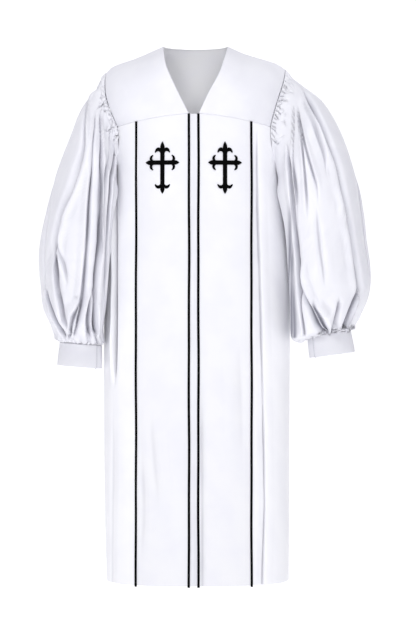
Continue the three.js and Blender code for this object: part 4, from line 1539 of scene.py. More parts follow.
RIGHT_CREASES = (
    Crease(
        (
            (264, -120), (287, -177), (309, -222), (338, -308),
            (351, -380), (364, -450), (378, -526), (390, -598),
        ),
        depth=19, slope=32, steep=4.5, crown=17, roll=0.7, line=0.85, band=5, shift=6.5, gloom=0.14,
    ),
    Crease(
        ((249, -170), (259, -236), (275, -296), (292, -356)),
        depth=5, slope=8, steep=4, ridge=0.6, crown=9, side=-1, roll=0.6, opens=40, closes=90, line=0.25,
    ),
    Crease(
        ((261, -146), (278, -188), (297, -236), (312, -286)),
        depth=5, slope=8, steep=4, ridge=0.6, crown=9, side=-1, roll=0.6, opens=40, closes=90, line=0.25,
    ),
    Crease(
        ((240, -165), (236, -212), (232, -284), (242, -380)),
        depth=9, slope=12, steep=5, ridge=0.5, crown=11, roll=0.5, opens=40, closes=120, line=0.3,
    ),
    Crease(
        ((250, -169), (254, -236), (261, -308), (266, -385)),
        depth=6, slope=8, steep=4, ridge=0.6, crown=9, roll=0.6, opens=40, closes=100, line=0.3,
    ),
    Crease(
        ((222, -270), (228, -340), (238, -450), (246, -536), (252, -620)),
        depth=12, slope=16, ridge=0.4, crown=12, roll=0.4, opens=80, closes=80,
    ),
    # Painted shade: these three all but flat creases only paint a dark strip on the sleeve's inner side,
    # where it lies in shade beside the body
    Crease(
        ((227, -420), (229, -620), (230, -710)),
        depth=1, slope=6, ridge=0, crown=9, roll=0, opens=90, closes=4, slit=0, line=1, band=14, shift=0,
    ),
    Crease(
        ((232, -500), (235, -640), (236, -710)),
        depth=1, slope=6, ridge=0, crown=9, roll=0, opens=90, closes=4, slit=0, line=1, band=13, shift=0,
    ),
    Crease(
        ((237, -580), (240, -640), (242, -710)),
        depth=1, slope=6, ridge=0, crown=9, roll=0, opens=80, closes=4, slit=0, line=1, band=11, shift=0,
    ),
    Crease(
        ((249, -600), (254, -650), (264, -706)),
        depth=7, slope=6, steep=4, ridge=0.5, crown=8, roll=0.2, opens=50, closes=6, slit=0.5, line=0.5,
    ),
    Crease(
        ((249, -540), (254, -580), (261, -604), (275, -632), (302, -682), (323, -706)),
        depth=18, slope=18, steep=4.5, ridge=0.5, crown=12, side=-1, roll=0.7, opens=50, closes=10,
        line=0.75, shift=4,
    ),
    Crease(
        ((286, -628), (307, -663), (328, -701)),
        depth=14, slope=12, steep=4.5, ridge=0.6, crown=10, side=-1, roll=0.7, opens=22, closes=10,
        line=0.8,
    ),
    Crease(
        ((345, -628), (336, -667), (334, -703)),
        depth=14, slope=14, steep=7, ridge=0.4, crown=12, roll=0.4, opens=24, closes=10, line=0.5,
        gloom=0.3,
    ),
    Crease(
        ((390, -600), (373, -643), (357, -697)),
        depth=12, slope=9, steep=4.5, ridge=0.6, crown=8, side=-1, roll=0.5, opens=24, closes=10,
        line=0.85,
    ),
    Crease(
        ((394, -612), (383, -648), (368, -697)),
        depth=10, slope=9, steep=4.5, ridge=0.6, crown=8, roll=0.5, opens=24, closes=10, line=0.6,
    ),
    Crease(
        ((404, -650), (393, -676), (379, -702)),
        depth=9, slope=9, steep=4.5, ridge=0.5, crown=9, roll=0.5, opens=20, closes=10, line=0.5,
    ),
    Crease(
        ((396, -340), (406, -416), (412, -476), (421, -540)),
        depth=9, slope=18, steep=7, ridge=0.4, crown=14, side=-1, roll=0.3, opens=90, closes=70, line=0.2,
    ),
    Crease(
        ((290, -430), (296, -500), (306, -560)),
        depth=5, slope=18, steep=10, ridge=0.4, crown=16, side=-1, roll=0.2, opens=70, closes=70,
        line=0.1,
    ),
)


@dataclass(frozen=True)
class SleeveSizes:
    """What one sleeve measures, from just below the armhole seam to the cuff seam.

    Each row of edges holds the x and z of the sleeve's outer edge, the x and z of its inner edge,
    and half its size from front to back. x is measured from the middle of the robe.
    """

    side: Side
    edges: tuple[tuple[float, float, float, float, float], ...]
    creases: tuple[Crease, ...]
    behind: tuple[Crease, ...]
    seed: int


@dataclass
class Sleeves:
    """The two bishop sleeves, gathered at the armhole and into the cuff."""

    body: BodyForm
    yoke: YokeForm
    finishes: Finishes
    columns: int = 330
    fine_columns: int = 900
    rows: int = 140
    armhole_gap: float = 0.4
    to_body: float = 3.0
    tucked: float = 11
    cap_gathers: int = 38
    cap_lengths: tuple[float, ...] = (18, 24, 32, 44, 58)
    cap_shares: tuple[float, ...] = (0.2, 0.25, 0.25, 0.15, 0.15)
    cap_dents: int = 40
    cap_end: float = 112
    cuff_gathers: int = 30
    cuff_lengths: tuple[float, ...] = (20, 34, 52, 84)
    cuff_shares: tuple[float, ...] = (0.25, 0.35, 0.25, 0.15)
    shaping: tuple[tuple[float, float, float], ...] = (
        (2, 10, 0.85),
        (5, 30, 0.6),
        (9, 44, 0.3),
        (15, 55, 0),
        (22, 60, 0),
        (28, 64, 0),
        (34, 63, 0),
        (39, 60, 0),
        (43, 56, 0),
        (47, 48, 0),
        (50, 36, 0),
        (53, 20, 0),
        (55, 6, 0),
        (56, 0, 0),
    )

    def armhole(self, side: Side, degrees: Array) -> Array:
        """The armhole seam at angles round it.

        Args:
            side: the side that it is on.
            degrees: 0 at the shoulder point, 90 in front, 180 under the arm and 270 behind.

        Returns:
            The points.
        """
        t = np.linspace(0, 1, 200)
        edges = self.yoke.edges(side)
        front = np.vstack([edges["front"].at(t), self.body.skin(*self.body.side_armhole(side, t))[1:]])
        rear = np.vstack([edges["back"].at(t), self.body.skin(*self.body.back_armhole(side, t))[1:]])
        on_front = spaced(front, np.clip(degrees / 180, 0, 1))
        on_rear = spaced(rear, np.clip((360 - degrees) / 180, 0, 1))
        return np.where((degrees <= 180)[..., None], on_front, on_rear)

    def form(self, sizes: SleeveSizes) -> Surface:
        """The smooth form of a sleeve, before its folds.

        Args:
            sizes: what it measures.

        Returns:
            A function from places round it and down it to points.
        """
        side = sizes.side
        count = len(sizes.edges)
        course = Course(range(count), [(*edge, *shape) for edge, shape in zip(sizes.edges, self.shaping)])
        ends = self.armhole(side, np.array([0.0, 180.0]))
        middle_x, _, middle_z = (ends[0] + ends[1]) / 2

        def point(u: Array, t: Array) -> Array:
            """Draws the sleeve.

            Args:
                u: places round it, from its inner edge.
                t: places down it.

            Returns:
                The points.
            """
            degrees = side.degrees(u)
            turn = np.radians(degrees)
            seam = self.armhole(side, degrees)
            sections = np.moveaxis(course.at(np.maximum(0, t * count - 1)), -1, 0)
            outer_x, outer_z, inner_x, inner_z, depth, forward, inset, as_armhole = sections
            across, front = np.cos(turn), np.sin(turn)
            round_x = side.value * ((outer_x + inner_x) / 2 + (outer_x - inner_x) / 2 * across)
            round_z = (outer_z + inner_z) / 2 + (outer_z - inner_z) / 2 * across
            round_y = -forward - inset * (1 - across) / 2 - depth * front
            ring = np.stack([round_x, round_y, round_z], axis=-1)
            shift = np.stack(
                [
                    side.value * (outer_x + inner_x) / 2 - middle_x,
                    np.zeros_like(t),
                    (outer_z + inner_z) / 2 - middle_z,
                ],
                axis=-1,
            )
            ring = ring + (seam + shift - ring) * as_armhole[..., None]
            leaving = np.sin(np.clip(t * count, 0, 1) * math.pi / 2)[..., None]
            found = seam + (ring - seam) * leaving
            found[..., 0] += side.value * self.armhole_gap * (1 - leaving[..., 0])
            return found

        return point

    def beside_body(self, cloth: Cloth, side: Side) -> None:
        """Moves the sleeve out wherever it would touch the body.

        Args:
            cloth: the sleeve.
            side: the side that it is on.
        """
        x, y, z = np.moveaxis(cloth.points, -1, 0)
        below = smoothstep(-z, -self.body.underarm_z - 10, -self.body.underarm_z + 20)
        short = np.maximum(0, self.body.reach(side, y, z) + self.to_body - side.value * x)
        cloth.points[..., 0] += side.value * short * below

    def tuck(self, cloth: Cloth, side: Side) -> None:
        """Lays the front of the sleeve a little over the side of the body, just under the arm.

        Args:
            cloth: the sleeve.
            side: the side that it is on.
        """
        z = cloth.points[..., 2]
        degrees = side.degrees(cloth.places)
        inner_front = smoothstep(degrees, 105, 145) * (1 - smoothstep(degrees, 160, 180))
        height = smoothstep(-z, 225, 315) * (1 - smoothstep(-z, 350, 500))
        cloth.points[..., 0] -= side.value * self.tucked * inner_front * height

    def gather_cap(self, cloth: Cloth, side: Side, seed: int) -> None:
        """Gathers the head of the sleeve into a puckered band along the armhole.

        Args:
            cloth: the sleeve.
            side: the side that it is on.
            seed: which gathers it has.
        """
        chance = np.random.default_rng(seed)
        under = cloth.along()
        width = cloth.across()[:, -1:]
        degrees = side.degrees(cloth.places)
        from_top = np.minimum(degrees, 360 - degrees)
        low = smoothstep(from_top, 12, 50)
        cap = (1 - smoothstep(from_top, self.cap_end, self.cap_end + 24)) * (0.35 + 0.65 * low)
        lift = cap * (1.6 + 3.4 * low) * smoothstep(under, 0, 9) * (1 - smoothstep(under, 20, 60))
        slide = np.zeros_like(lift)
        for number in range(self.cap_gathers):
            step = number + chance.uniform(-0.35, 0.35)
            angle = -self.cap_end + 2 * self.cap_end * step / (self.cap_gathers - 1)
            place = ((180 - angle) * side.value / 360) % 1
            length = chance.choice(self.cap_lengths, p=self.cap_shares) * chance.uniform(0.8, 1.2)
            lean = chance.uniform(-0.4, 0.4)
            apart = (cloth.places - place + 0.5) % 1 - 0.5
            apart = apart * width - lean * under + 2.4 * np.sin(under / 9 + number)
            reach = 2.0 + under * 0.06
            fade = (1 - smoothstep(under, length * 0.45, length)) * smoothstep(under, 0, 3)
            deep = chance.uniform(3.8, 6.6) * fade * cap
            lift -= deep * bell(apart, reach)
            lift += deep * 0.4 * bell(apart - reach * 1.2, reach)
            slide -= deep * 0.5 * bell(apart - reach * 1.2, reach)
        for number in range(self.cap_dents):
            angle = chance.uniform(-self.cap_end, self.cap_end)
            place = ((180 - angle) * side.value / 360) % 1
            size = (chance.uniform(4, 9), chance.uniform(1.3, 2.0))
            lean = chance.choice([-1, 1]) * chance.uniform(20, 60)
            lift -= cap * cloth.dent(place, chance.uniform(6, 40), lean, size, chance.uniform(3.5, 6.5))
        # The thread that gathers the head pulls a crooked dent along the inside of the puckered band
        edge = 36 + 7 * np.sin(from_top / 15 + seed) + 5 * np.sin(from_top / 6.5)
        crooked = 0.55 + 0.45 * np.sin(from_top / 4.2 + seed)
        lift -= 1.3 * cap * smoothstep(from_top, 34, 56) * bell(under - edge, 7) * crooked
        cloth.move(lift, slide)

    def gather_cuff(self, cloth: Cloth, seed: int) -> None:
        """Gathers the foot of the sleeve into the cuff with uneven small folds.

        Args:
            cloth: the sleeve.
            seed: which folds it has.
        """
        chance = np.random.default_rng(seed + 5)
        along = cloth.along()
        over = along[-1:] - along
        width = cloth.across()[:, -1:]
        lift = 4.5 * smoothstep(over, 0, 10) * (1 - smoothstep(over, 14, 50))
        slide = np.zeros_like(lift)
        for number in range(self.cuff_gathers):
            place = (number + chance.uniform(-0.35, 0.35)) / self.cuff_gathers % 1
            length = chance.choice(self.cuff_lengths, p=self.cuff_shares) * chance.uniform(0.8, 1.2)
            lean = chance.uniform(-0.3, 0.3)
            apart = (cloth.places - place + 0.5) % 1 - 0.5
            apart = apart * width - lean * over
            reach = 2.4 + over * 0.1
            fade = (1 - smoothstep(over, length * 0.4, length)) * smoothstep(over, 0, 3)
            deep = chance.uniform(2.4, 5.0) * fade
            lift -= deep * bell(apart, reach)
            lift += deep * 0.5 * bell(apart - reach * 1.2, reach)
            slide -= deep * 0.4 * bell(apart - reach * 1.2, reach)
        cloth.move(lift, slide)

    def build_one(self, sizes: SleeveSizes) -> None:
        """Makes one sleeve.

        Args:
            sizes: what it measures, with its creases.
        """
        side = sizes.side
        rows = spread(self.rows, (0, 0.05, 2.2), (1, 0.05, 2.6))
        cloth = sheet_of(self.form(sizes), np.linspace(0, 1, self.fine_columns), rows, closed=True)
        self.tuck(cloth, side)
        self.beside_body(cloth, side)
        creases = sizes.creases + sizes.behind
        cloth = cloth.crowd(self.columns, creases)
        cloth.close()
        cloth.press(creases, foot_hold=18)
        self.gather_cap(cloth, side, sizes.seed)
        self.gather_cuff(cloth, sizes.seed)
        swells = drift(cloth.places, cloth.down, (12, 9), sizes.seed + 1, True)
        wrinkles = drift(cloth.places, cloth.down, (26, 22), sizes.seed + 2, True)
        calm = smoothstep(cloth.down, 0.04, 0.2) * (1 - smoothstep(cloth.down, 0.93, 1))
        cloth.move(calm * (2.4 * swells + 0.7 * wrinkles))
        self.beside_body(cloth, side)
        cloth.turn_in(Edge.TOP, depth=3.0, bend=0.5)
        cloth.turn_in(Edge.BOTTOM, depth=3.0)
        piece = cloth.make(f"sleeve_{side.word}_cloth", THIN, self.finishes.satin)
        declare(piece, f"sleeve_{side.word}", cloth.area(), cloth.cut())

    def build(self) -> None:
        """Makes both sleeves."""
        self.build_one(LEFT_SLEEVE)
        self.build_one(RIGHT_SLEEVE)


def hidden_creases(side: Side, lines: Sequence[tuple[float, ...]]) -> tuple[Crease, ...]:
    """Folds of a sleeve's back, as like those in front as folds of one cloth are.

    Args:
        side: the side that the sleeve is on.
        lines: for each fold its x at the top, middle and foot, its top z, its foot z and its depth.

    Returns:
        The creases.
    """
    found = []
    for number, (top_x, middle_x, foot_x, top_z, foot_z, depth) in enumerate(lines):
        x = [side.value * value for value in (top_x, middle_x, foot_x)]
        path = ((x[0], top_z), (x[1], (top_z + foot_z) / 2), (x[2], foot_z))
        slope = 14 + 5 * math.sin(number * 1.9)
        turned = (-1) ** number
        found.append(
            Crease(path, depth, slope, steep=6.5, ridge=0.5, crown=14, side=turned, closes=40, behind=True)
        )
    return tuple(found)


LEFT_SLEEVE = SleeveSizes(
    Side.LEFT,
    (
        (230, -74, 197, -316, 82),
        (239, -91, 192, -328, 85),
        (253, -116, 189, -342, 92),
        (276, -158, 189, -364, 100),
        (304, -230, 192, -405, 107),
        (332, -308, 197, -450, 112),
        (354, -388, 201, -500, 115),
        (370, -464, 205, -552, 116),
        (375, -524, 208, -602, 114),
        (370, -590, 212, -648, 109),
        (366, -640, 216, -683, 97),
        (351, -676, 219, -706, 77),
        (336, -702, 220, -719, 51),
        (324, -720, 220, -728, 31),
    ),
    LEFT_CREASES,
    hidden_creases(
        Side.LEFT,
        (
            (226, 226, 236, -190, -705, 10),
            (244, 266, 262, -150, -700, 13),
            (256, 300, 284, -150, -706, 11),
            (272, 334, 304, -190, -706, 9),
            (262, 286, 276, -560, -708, 8),
            (330, 324, 306, -590, -710, 8),
        ),
    ),
    101,
)
RIGHT_SLEEVE = SleeveSizes(
    Side.RIGHT,
    (
        (236, -65, 211, -316, 82),
        (250, -78, 207, -328, 86),
        (271, -97, 205, -342, 95),
        (306, -132, 206, -366, 105),
        (345, -190, 211, -408, 113),
        (374, -256, 217, -452, 118),
        (395, -327, 222, -500, 121),
        (409, -400, 227, -552, 122),
        (415, -474, 230, -604, 120),
        (426, -556, 232, -654, 114),
        (421, -608, 233, -690, 101),
        (406, -650, 239, -713, 80),
        (391, -675, 256, -716, 54),
        (379, -692, 272, -706, 31),
    ),
    RIGHT_CREASES,
    hidden_creases(
        Side.RIGHT,
        (
            (236, 252, 290, -190, -690, 11),
            (256, 292, 318, -140, -690, 12),
            (272, 334, 342, -140, -690, 10),
            (290, 374, 360, -190, -690, 8),
            (300, 312, 328, -560, -694, 8),
            (380, 370, 352, -590, -694, 8),
        ),
    ),
    203,
)


@dataclass(frozen=True)
class CuffSizes:
    """The four corners of a cuff as seen from the front, with half its depth at each end."""

    side: Side
    top: tuple[float, float, float, float, float]
    foot: tuple[float, float, float, float, float]


@dataclass
class Cuffs:
    """The two narrow cuffs, of doubled cloth lapped on the inner edge."""

    finishes: Finishes
    columns: int = 180
    rows: int = 36
    forward: float = 56
    belly: float = 0.6
    lap_angle: float = 141
    lap_end_angle: float = 214
    lap_step: float = 1.1
    lap_edge_angle: float = 3
    lap_inset: float = 7
    # How dark the painted shade along the lap's edge is
    lap_shadow: float = 0.7
    stitch: float = 3.9
    cloth: float = 2.4
    sizes: tuple[CuffSizes, ...] = (
        CuffSizes(Side.LEFT, (324, -720.8, 220, -728.8, 30), (330, -777, 220, -785.5, 32)),
        CuffSizes(Side.RIGHT, (379, -692.8, 272, -706.8, 30), (389, -745, 276.5, -760, 32)),
    )

    def build_one(self, sizes: CuffSizes) -> Cloth:
        """Makes one cuff.

        Args:
            sizes: where its corners lie.

        Returns:
            Its sheet, before its edges are turned in.
        """
        side = sizes.side
        top, foot = np.array(sizes.top, float), np.array(sizes.foot, float)

        def point(u: Array, t: Array) -> Array:
            """Draws the cuff.

            Args:
                u: places round it, from its inner edge.
                t: places down it.

            Returns:
                The points.
            """
            degrees = side.degrees(u)
            swell = self.belly * np.sin(t * math.pi)
            corners = np.moveaxis(top + (foot - top) * t[..., None], -1, 0)
            outer_x, outer_z, inner_x, inner_z, depth = corners
            outer_x, inner_x, depth = outer_x + swell, inner_x - swell, depth + swell
            into = smoothstep(degrees, self.lap_angle - self.lap_edge_angle, self.lap_angle)
            out_of = smoothstep(degrees, self.lap_end_angle, self.lap_end_angle + 30)
            size = 1 - self.lap_step * (into - out_of) / depth
            across = np.cos(np.radians(degrees)) * size
            front = np.sin(np.radians(degrees)) * size
            x = side.value * ((outer_x + inner_x) / 2 + (outer_x - inner_x) / 2 * across)
            z = (outer_z + inner_z) / 2 + (outer_z - inner_z) / 2 * across
            return np.stack([x, -self.forward - depth * front, z], axis=-1)

        lap = ((180 - side.value * (self.lap_angle - 1.5)) / 360) % 1
        cloth = sheet_of(point, spread(self.columns, (lap, 0.02, 4)), spread(self.rows), closed=True)
        swells = drift(cloth.places, cloth.down, (9, 3), 71 + side.value, True)
        cloth.move(0.5 * swells * np.sin(cloth.down * math.pi))
        # Painted shade along the lap's edge, darkest at each stitch, where the needle draws the edge down
        middle = len(cloth.places) // 2
        edge = cloth.across()[:, int(np.abs(cloth.places[middle] - lap).argmin())][:, None]
        painted_stitch_shade = 0.6 + 0.4 * np.sin(TAU * cloth.along() / self.stitch)
        cloth.shadow = self.lap_shadow * painted_stitch_shade * np.exp(-(((cloth.across() - edge) / 1.4) ** 2))
        cloth.turn_in(Edge.TOP, depth=2.6)
        cloth.turn_in(Edge.BOTTOM, depth=3.4)
        piece = cloth.make(f"cuff_{side.word}_cloth", self.cloth, self.finishes.doubled)
        declare(piece, f"cuff_{side.word}", None, cloth.cut())
        return cloth

    def build(self) -> None:
        """Makes both cuffs, with a row of stitches beside the lap of each."""
        stitching = Stitching(self.finishes)
        for sizes in self.sizes:
            cloth = self.build_one(sizes)
            lap = ((180 - sizes.side.value * (self.lap_angle - self.lap_inset)) / 360) % 1
            stitching.cuff(cloth, sizes.side, lap, (5, len(cloth.points) - 5))


@dataclass
class Stitching:
    """The row of white stitches along the lap of each cuff."""

    finishes: Finishes
    length: float = 2.6
    pitch: float = 3.9
    radius: float = 0.42
    sunk: float = 0.12

    def row(self, name: str, path: Array, outward: Array, node: str) -> None:
        """Sews one row of stitches.

        Args:
            name: the name of the piece.
            path: the line of the row on the cloth.
            outward: the direction away from the cloth at each point of the line.
            node: the piece of cloth that it is sewn to.
        """
        steps = np.linalg.norm(np.diff(path, axis=0), axis=1)
        places = np.concatenate([[0], np.cumsum(steps)])
        count = int(places[-1] / self.pitch)
        sewn = bmesh.new()
        for k in range(count):
            at = (k + 0.5) * places[-1] / count
            start, middle, end, up = (
                Vector([float(np.interp(at + shift, places, values[:, axis])) for axis in range(3)])
                for shift, values in ((-1, path), (0, path), (1, path), (0, outward))
            )
            turn = up.to_track_quat("Z", "X")
            ahead = turn.inverted() @ (end - start)
            spin = Quaternion((0, 0, 1), math.atan2(ahead.y, ahead.x) + 0.12 * math.sin(k * 2.3))
            place = Matrix.Translation((middle + up.normalized() * (self.radius - self.sunk)) * MM)
            scale = Matrix.Diagonal((self.length / 2 * MM, self.radius * MM, self.radius * MM, 1))
            bmesh.ops.create_uvsphere(
                sewn,
                u_segments=8,
                v_segments=6,
                radius=1,
                matrix=place @ (turn @ spin).to_matrix().to_4x4() @ scale,
                calc_uvs=True,
            )
        for face in sewn.faces:
            face.smooth = True
        piece = add_piece(name, sewn, self.finishes.sewing)
        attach(piece, "root")
        log.info("%s on %s: %d stitches", name, node, count)

    def cuff(self, cloth: Cloth, side: Side, lap: float, rows: tuple[int, int]) -> None:
        """Sews the row down a cuff's lap.

        Args:
            cloth: the cuff's sheet.
            side: the side that it is on.
            lap: the row's place round the cuff.
            rows: the first and the last row of the sheet that it reaches.
        """
        column = int(np.abs(cloth.places[len(cloth.places) // 2] - lap).argmin())
        line = slice(*rows)
        node = f"cuff_{side.word}"
        self.row(f"{node}_stitches", cloth.points[line, column], cloth.outward()[line, column], node)


# Piping and crosses


def tube_mesh(name: str, rows: Array, uv: Array, material: Material) -> Piece:
    """Makes a closed tube from rings of points.

    Args:
        name: the name of the piece.
        rows: rings by points by 3, in millimetres, anticlockwise seen from above.
        uv: the place of each point on the cloth, in millimetres.
        material: its finish.

    Returns:
        The piece.
    """
    count, around = rows.shape[:2]
    points = np.concatenate([rows, rows[:, :1]], axis=1)[::-1]
    grid = bmesh.new()
    bmesh.ops.create_grid(grid, x_segments=around, y_segments=count - 1, size=1, calc_uvs=False)
    layer = grid.loops.layers.uv.new("UVMap")
    grid.verts.ensure_lookup_table()
    flat, flat_uv = points.reshape(-1, 3), uv[::-1].reshape(-1, 2)
    for face in grid.faces:
        for loop in face.loops:
            loop[layer].uv = flat_uv[loop.vert.index] * MM
        face.smooth = True
    for vert in grid.verts:
        vert.co = Vector(flat[vert.index]) * MM
    bmesh.ops.remove_doubles(grid, verts=grid.verts[:], dist=1e-6)
    ends = [edge for edge in grid.edges if edge.is_boundary]
    bmesh.ops.holes_fill(grid, edges=ends, sides=0)
    bmesh.ops.recalc_face_normals(grid, faces=grid.faces[:])
    return add_piece(name, grid, material)


@dataclass
class Piping:
    """The four black cords sewn into the front seams, from the yoke to just past the hem."""

    body: BodyForm
    finishes: Finishes
    width: float = 6
    height: float = 2.4
    past_hem: float = 2.5
    rows: int = 260
    around: int = 18

    def cord(self, name: str, x: float) -> None:
        """Makes one cord.

        Args:
            name: the solid that it replaces.
            x: where its seam lies.
        """
        body = self.body
        heights = np.linspace(float(body.seam_z(x)) - 0.3, body.hem_z - self.past_hem, self.rows)
        skin_z = np.maximum(heights, body.hem_z)
        sway = 0.35 * np.sin(heights / 83 + x) + 0.25 * np.sin(heights / 37 + 2 * x)
        middle = body.front(x + sway, skin_z)
        along = body.front(x + sway + 1, skin_z) - body.front(x + sway - 1, skin_z)
        along /= np.linalg.norm(along, axis=1, keepdims=True)
        outward = np.stack([along[:, 1], -along[:, 0], np.zeros(len(along))], axis=1)
        middle[:, 2] = heights
        turn = np.linspace(0, TAU, self.around, endpoint=False) - math.pi / 2
        across = np.sign(np.cos(turn)) * np.abs(np.cos(turn)) ** 0.8 * self.width / 2
        lift = np.where(np.sin(turn) > 0, np.sin(turn) * self.height, 0.25 * np.sin(turn)) + 0.3
        sideways = along[:, None] * across[None, :, None]
        rows = middle[:, None] + sideways + outward[:, None] * lift[None, :, None]
        round_it = np.linspace(0, self.width * 2.6, self.around + 1)
        uv = np.stack(np.broadcast_arrays(round_it[None, :], heights[:, None]), axis=-1)
        piece = tube_mesh(f"{name}_cord", rows, uv, self.finishes.piping)
        declare(piece, name)

    def build(self) -> None:
        """Makes the four cords."""
        body = self.body
        for side in Side:
            self.cord(f"piping_inner_{side.word}", side.value * body.band_half_width)
            self.cord(f"piping_outer_{side.word}", side.value * body.panel_outer_x)


@dataclass
class Crosses:
    """The two crosses, each with a spear and two curled petals at the end of every arm."""

    body: BodyForm
    finishes: Finishes
    middle_x: float = 74.6
    middle_z: float = -293
    half_bar: float = 5.2
    petal_root: float = 28.5
    lift: float = 0.4
    thickness: float = 1.4
    pad: float = 0.35
    arms: tuple[tuple[int, float, float], ...] = (
        (0, 51, 1),
        (90, 40.5, 0.68),
        (180, 75, 0.86),
        (270, 40.5, 0.68),
    )
    ending: tuple[tuple[float, float, float, float], ...] = (
        (5.9, 24.4, 10, 23.8),
        (13.2, 23.4, 16.4, 27.4),
        (18.6, 27.4, 18.2, 24.6),
        (16, 15.2, 9.8, 14.8),
        (6.8, 14.6, 5.2, 16.6),
        (6.2, 9.4, 0, 0),
    )

    def half_arm(self, length: float, size: float) -> list[tuple[float, float]]:
        """Draws one side of an arm, outwards: the bar, a curled petal and the spear.

        Args:
            length: from the crossing to the tip.
            size: the size of petal and spear, 1 on the top arm.

        Returns:
            The x and z of its points.
        """
        bar_end = length - self.petal_root * size
        path = [(self.half_bar, self.half_bar + (bar_end - self.half_bar) * k / 6) for k in range(7)]
        for bend_x, bend_down, x, down in self.ending:
            start = path[-1]
            bend, end = (bend_x, length - bend_down * size), (x, length - down * size)
            for k in range(1, 9):
                t = k / 8
                near, between, far = (1 - t) ** 2, 2 * t * (1 - t), t * t
                path.append(tuple(near * a + between * b + far * c for a, b, c in zip(start, bend, end)))
        return path

    def outline(self) -> list[tuple[float, float]]:
        """Draws the whole outline, anticlockwise, from the arms turned about the crossing.

        Returns:
            The x and z of its points.
        """
        found: list[tuple[float, float]] = []
        for turn, length, size in self.arms:
            half = self.half_arm(length, size)
            sine, cosine = math.sin(math.radians(turn)), math.cos(math.radians(turn))
            for x, z in half + [(-x, z) for x, z in reversed(half[:-1])]:
                spot = (x * cosine - z * sine, x * sine + z * cosine)
                if not found or math.dist(found[-1], spot) > 0.05:
                    found.append(spot)
        if math.dist(found[0], found[-1]) < 0.05:
            found.pop()
        return found

    def build_one(self, side: Side) -> None:
        """Makes one cross: a filled outline, padded towards its middle and laid on its panel.

        Args:
            side: the side that it is on.
        """
        shape = bmesh.new()
        ring = [shape.verts.new((x, 0, z)) for x, z in self.outline()]
        face = shape.faces.new(ring)
        made = bmesh.ops.extrude_face_region(shape, geom=[face])
        raised = [g for g in made["geom"] if isinstance(g, bmesh.types.BMVert)]
        bmesh.ops.translate(shape, verts=raised, vec=(0, -self.thickness, 0))
        tops = [g for g in made["geom"] if isinstance(g, bmesh.types.BMFace)]
        rims = [edge for top in tops for edge in top.edges]
        bmesh.ops.bevel(
            shape,
            geom=rims,
            offset=self.pad,
            offset_type="OFFSET",
            segments=3,
            profile=0.5,
            affect="EDGES",
            material=-1,
            clamp_overlap=True,
        )
        bmesh.ops.triangulate(shape, faces=[f for f in shape.faces if len(f.verts) > 4])
        bmesh.ops.recalc_face_normals(shape, faces=shape.faces[:])
        layer = shape.loops.layers.uv.new("UVMap")
        for f in shape.faces:
            x, _, z = f.calc_center_median()
            upright = abs(z) > abs(x)
            for loop in f.loops:
                u, w = loop.vert.co.x, loop.vert.co.z
                loop[layer].uv = (u * MM, w * MM) if upright else (w * MM, u * MM)
            f.smooth = True
        for vert in shape.verts:
            skin = self.body.front(side.value * self.middle_x + vert.co.x, self.middle_z + vert.co.z)
            vert.co = Vector((skin[0], skin[1] - self.lift + vert.co.y, skin[2])) * MM
        piece = add_piece(f"cross_{side.word}_embroidery", shape, self.finishes.embroidery)
        declare(piece, f"cross_{side.word}")

    def build(self) -> None:
        """Makes both crosses."""
        for side in Side:
            self.build_one(side)


# The room


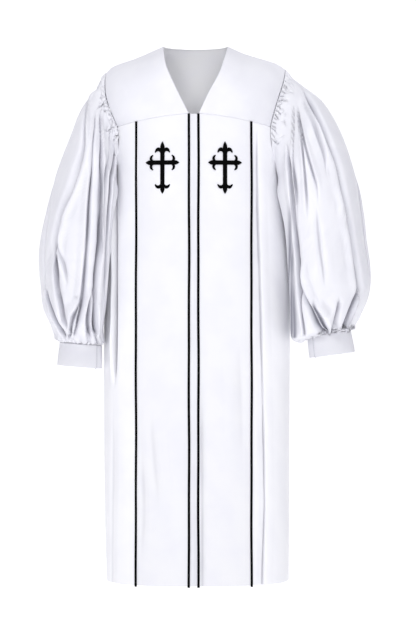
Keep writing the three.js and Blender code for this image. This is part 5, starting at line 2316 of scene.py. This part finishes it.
@dataclass
class Studio:
    """A pale floor that curves up into a backdrop, soft lights and the camera."""

    floor_z: float = -1.62
    wall_y: float = 9.5
    wall_top: float = 9.0
    reach: float = 12.0
    bend: float = 3.0
    camera_at: Spot = (0.034, -5.0, -0.65)
    focal_px: float = 2048.0
    frame_height_px: float = 625.0
    sensor_mm: float = 24.0

    def backdrop(self) -> None:
        """Makes the floor and backdrop as one smooth sheet."""
        profile = [(-self.reach, self.floor_z)]
        for k in range(17):
            turn = k / 16 * math.pi / 2
            along, up = self.bend * math.sin(turn), self.bend * (1 - math.cos(turn))
            profile.append((self.wall_y - self.bend + along, self.floor_z + up))
        profile.append((self.wall_y, self.wall_top))
        sheet = bmesh.new()
        edge = [sheet.verts.new((-self.reach, y, z)) for y, z in profile]
        edges = [sheet.edges.new(pair) for pair in zip(edge, edge[1:])]
        made = bmesh.ops.extrude_edge_only(sheet, edges=edges)
        moved = [g for g in made["geom"] if isinstance(g, bmesh.types.BMVert)]
        bmesh.ops.translate(sheet, verts=moved, vec=(2 * self.reach, 0, 0))
        for face in sheet.faces:
            face.smooth = True
        paper, _, shader = new_material("pale_backdrop_paper")
        shader.inputs["Base Color"].default_value = linear("#FBFBFC")
        shader.inputs["Roughness"].default_value = 0.9
        shader.inputs["Emission Color"].default_value = linear("#FFFFFF")
        shader.inputs["Emission Strength"].default_value = 0.45
        add_piece("backdrop", sheet, paper)

    def light(self, name: str, at: Spot, aim: Spot, size: tuple[float, float], watts: float) -> None:
        """Adds a soft white light.

        Args:
            name: what it is called.
            at: where it stands, in metres.
            aim: what it points at.
            size: its width and height.
            watts: its power.
        """
        lamp = bpy.data.lights.new(name, "AREA")
        lamp.shape = "RECTANGLE"
        lamp.size, lamp.size_y = size
        lamp.energy = watts
        holder = bpy.data.objects.new(name, lamp)
        holder.location = at
        holder.rotation_euler = (Vector(aim) - Vector(at)).to_track_quat("-Z", "Y").to_euler()
        bpy.context.scene.collection.objects.link(holder)

    def build(self) -> None:
        """Makes the backdrop, the lights, the world and the camera."""
        scene = bpy.context.scene
        self.backdrop()
        self.light("key", (-1.7, -4.7, 1.1), (0, 0, -0.6), (1.0, 1.0), 39)
        self.light("fill", (0.5, -5.1, -0.1), (0, 0, -0.6), (1.4, 1.4), 33)
        self.light("top", (0.1, -1.5, 1.8), (0, 0, -0.15), (2.2, 0.9), 21)
        self.light("behind", (0.4, 3.2, 1.0), (0, 0, -0.35), (1.6, 1.6), 11)
        world = bpy.data.worlds.new("soft_room")
        world.use_nodes = True
        background = world.node_tree.nodes["Background"]
        background.inputs[0].default_value = linear("#F4F4FA")
        background.inputs[1].default_value = 0.55
        scene.world = world
        scene.view_settings.view_transform = "Standard"
        scene.view_settings.look = "None"
        lens = bpy.data.cameras.new("camera")
        lens.sensor_fit = "VERTICAL"
        lens.sensor_height = self.sensor_mm
        lens.lens = self.focal_px / self.frame_height_px * self.sensor_mm
        camera = bpy.data.objects.new("camera", lens)
        camera.location = self.camera_at
        camera.rotation_euler = (math.pi / 2, 0, 0)
        scene.collection.objects.link(camera)
        scene.camera = camera


def main() -> None:
    """Builds the room and every piece of the robe."""
    logging.basicConfig(level=logging.INFO, format="%(message)s")
    Studio().build()
    body = BodyForm()
    yoke = YokeForm(body)
    finishes = Finishes()
    Yokes(body, yoke, finishes).build()
    FrontBody(body, finishes).build()
    Back(body, finishes).build()
    Sleeves(body, yoke, finishes).build()
    Cuffs(finishes).build()
    Piping(body, finishes).build()
    Crosses(body, finishes).build()


if __name__ == "__main__":
    main()
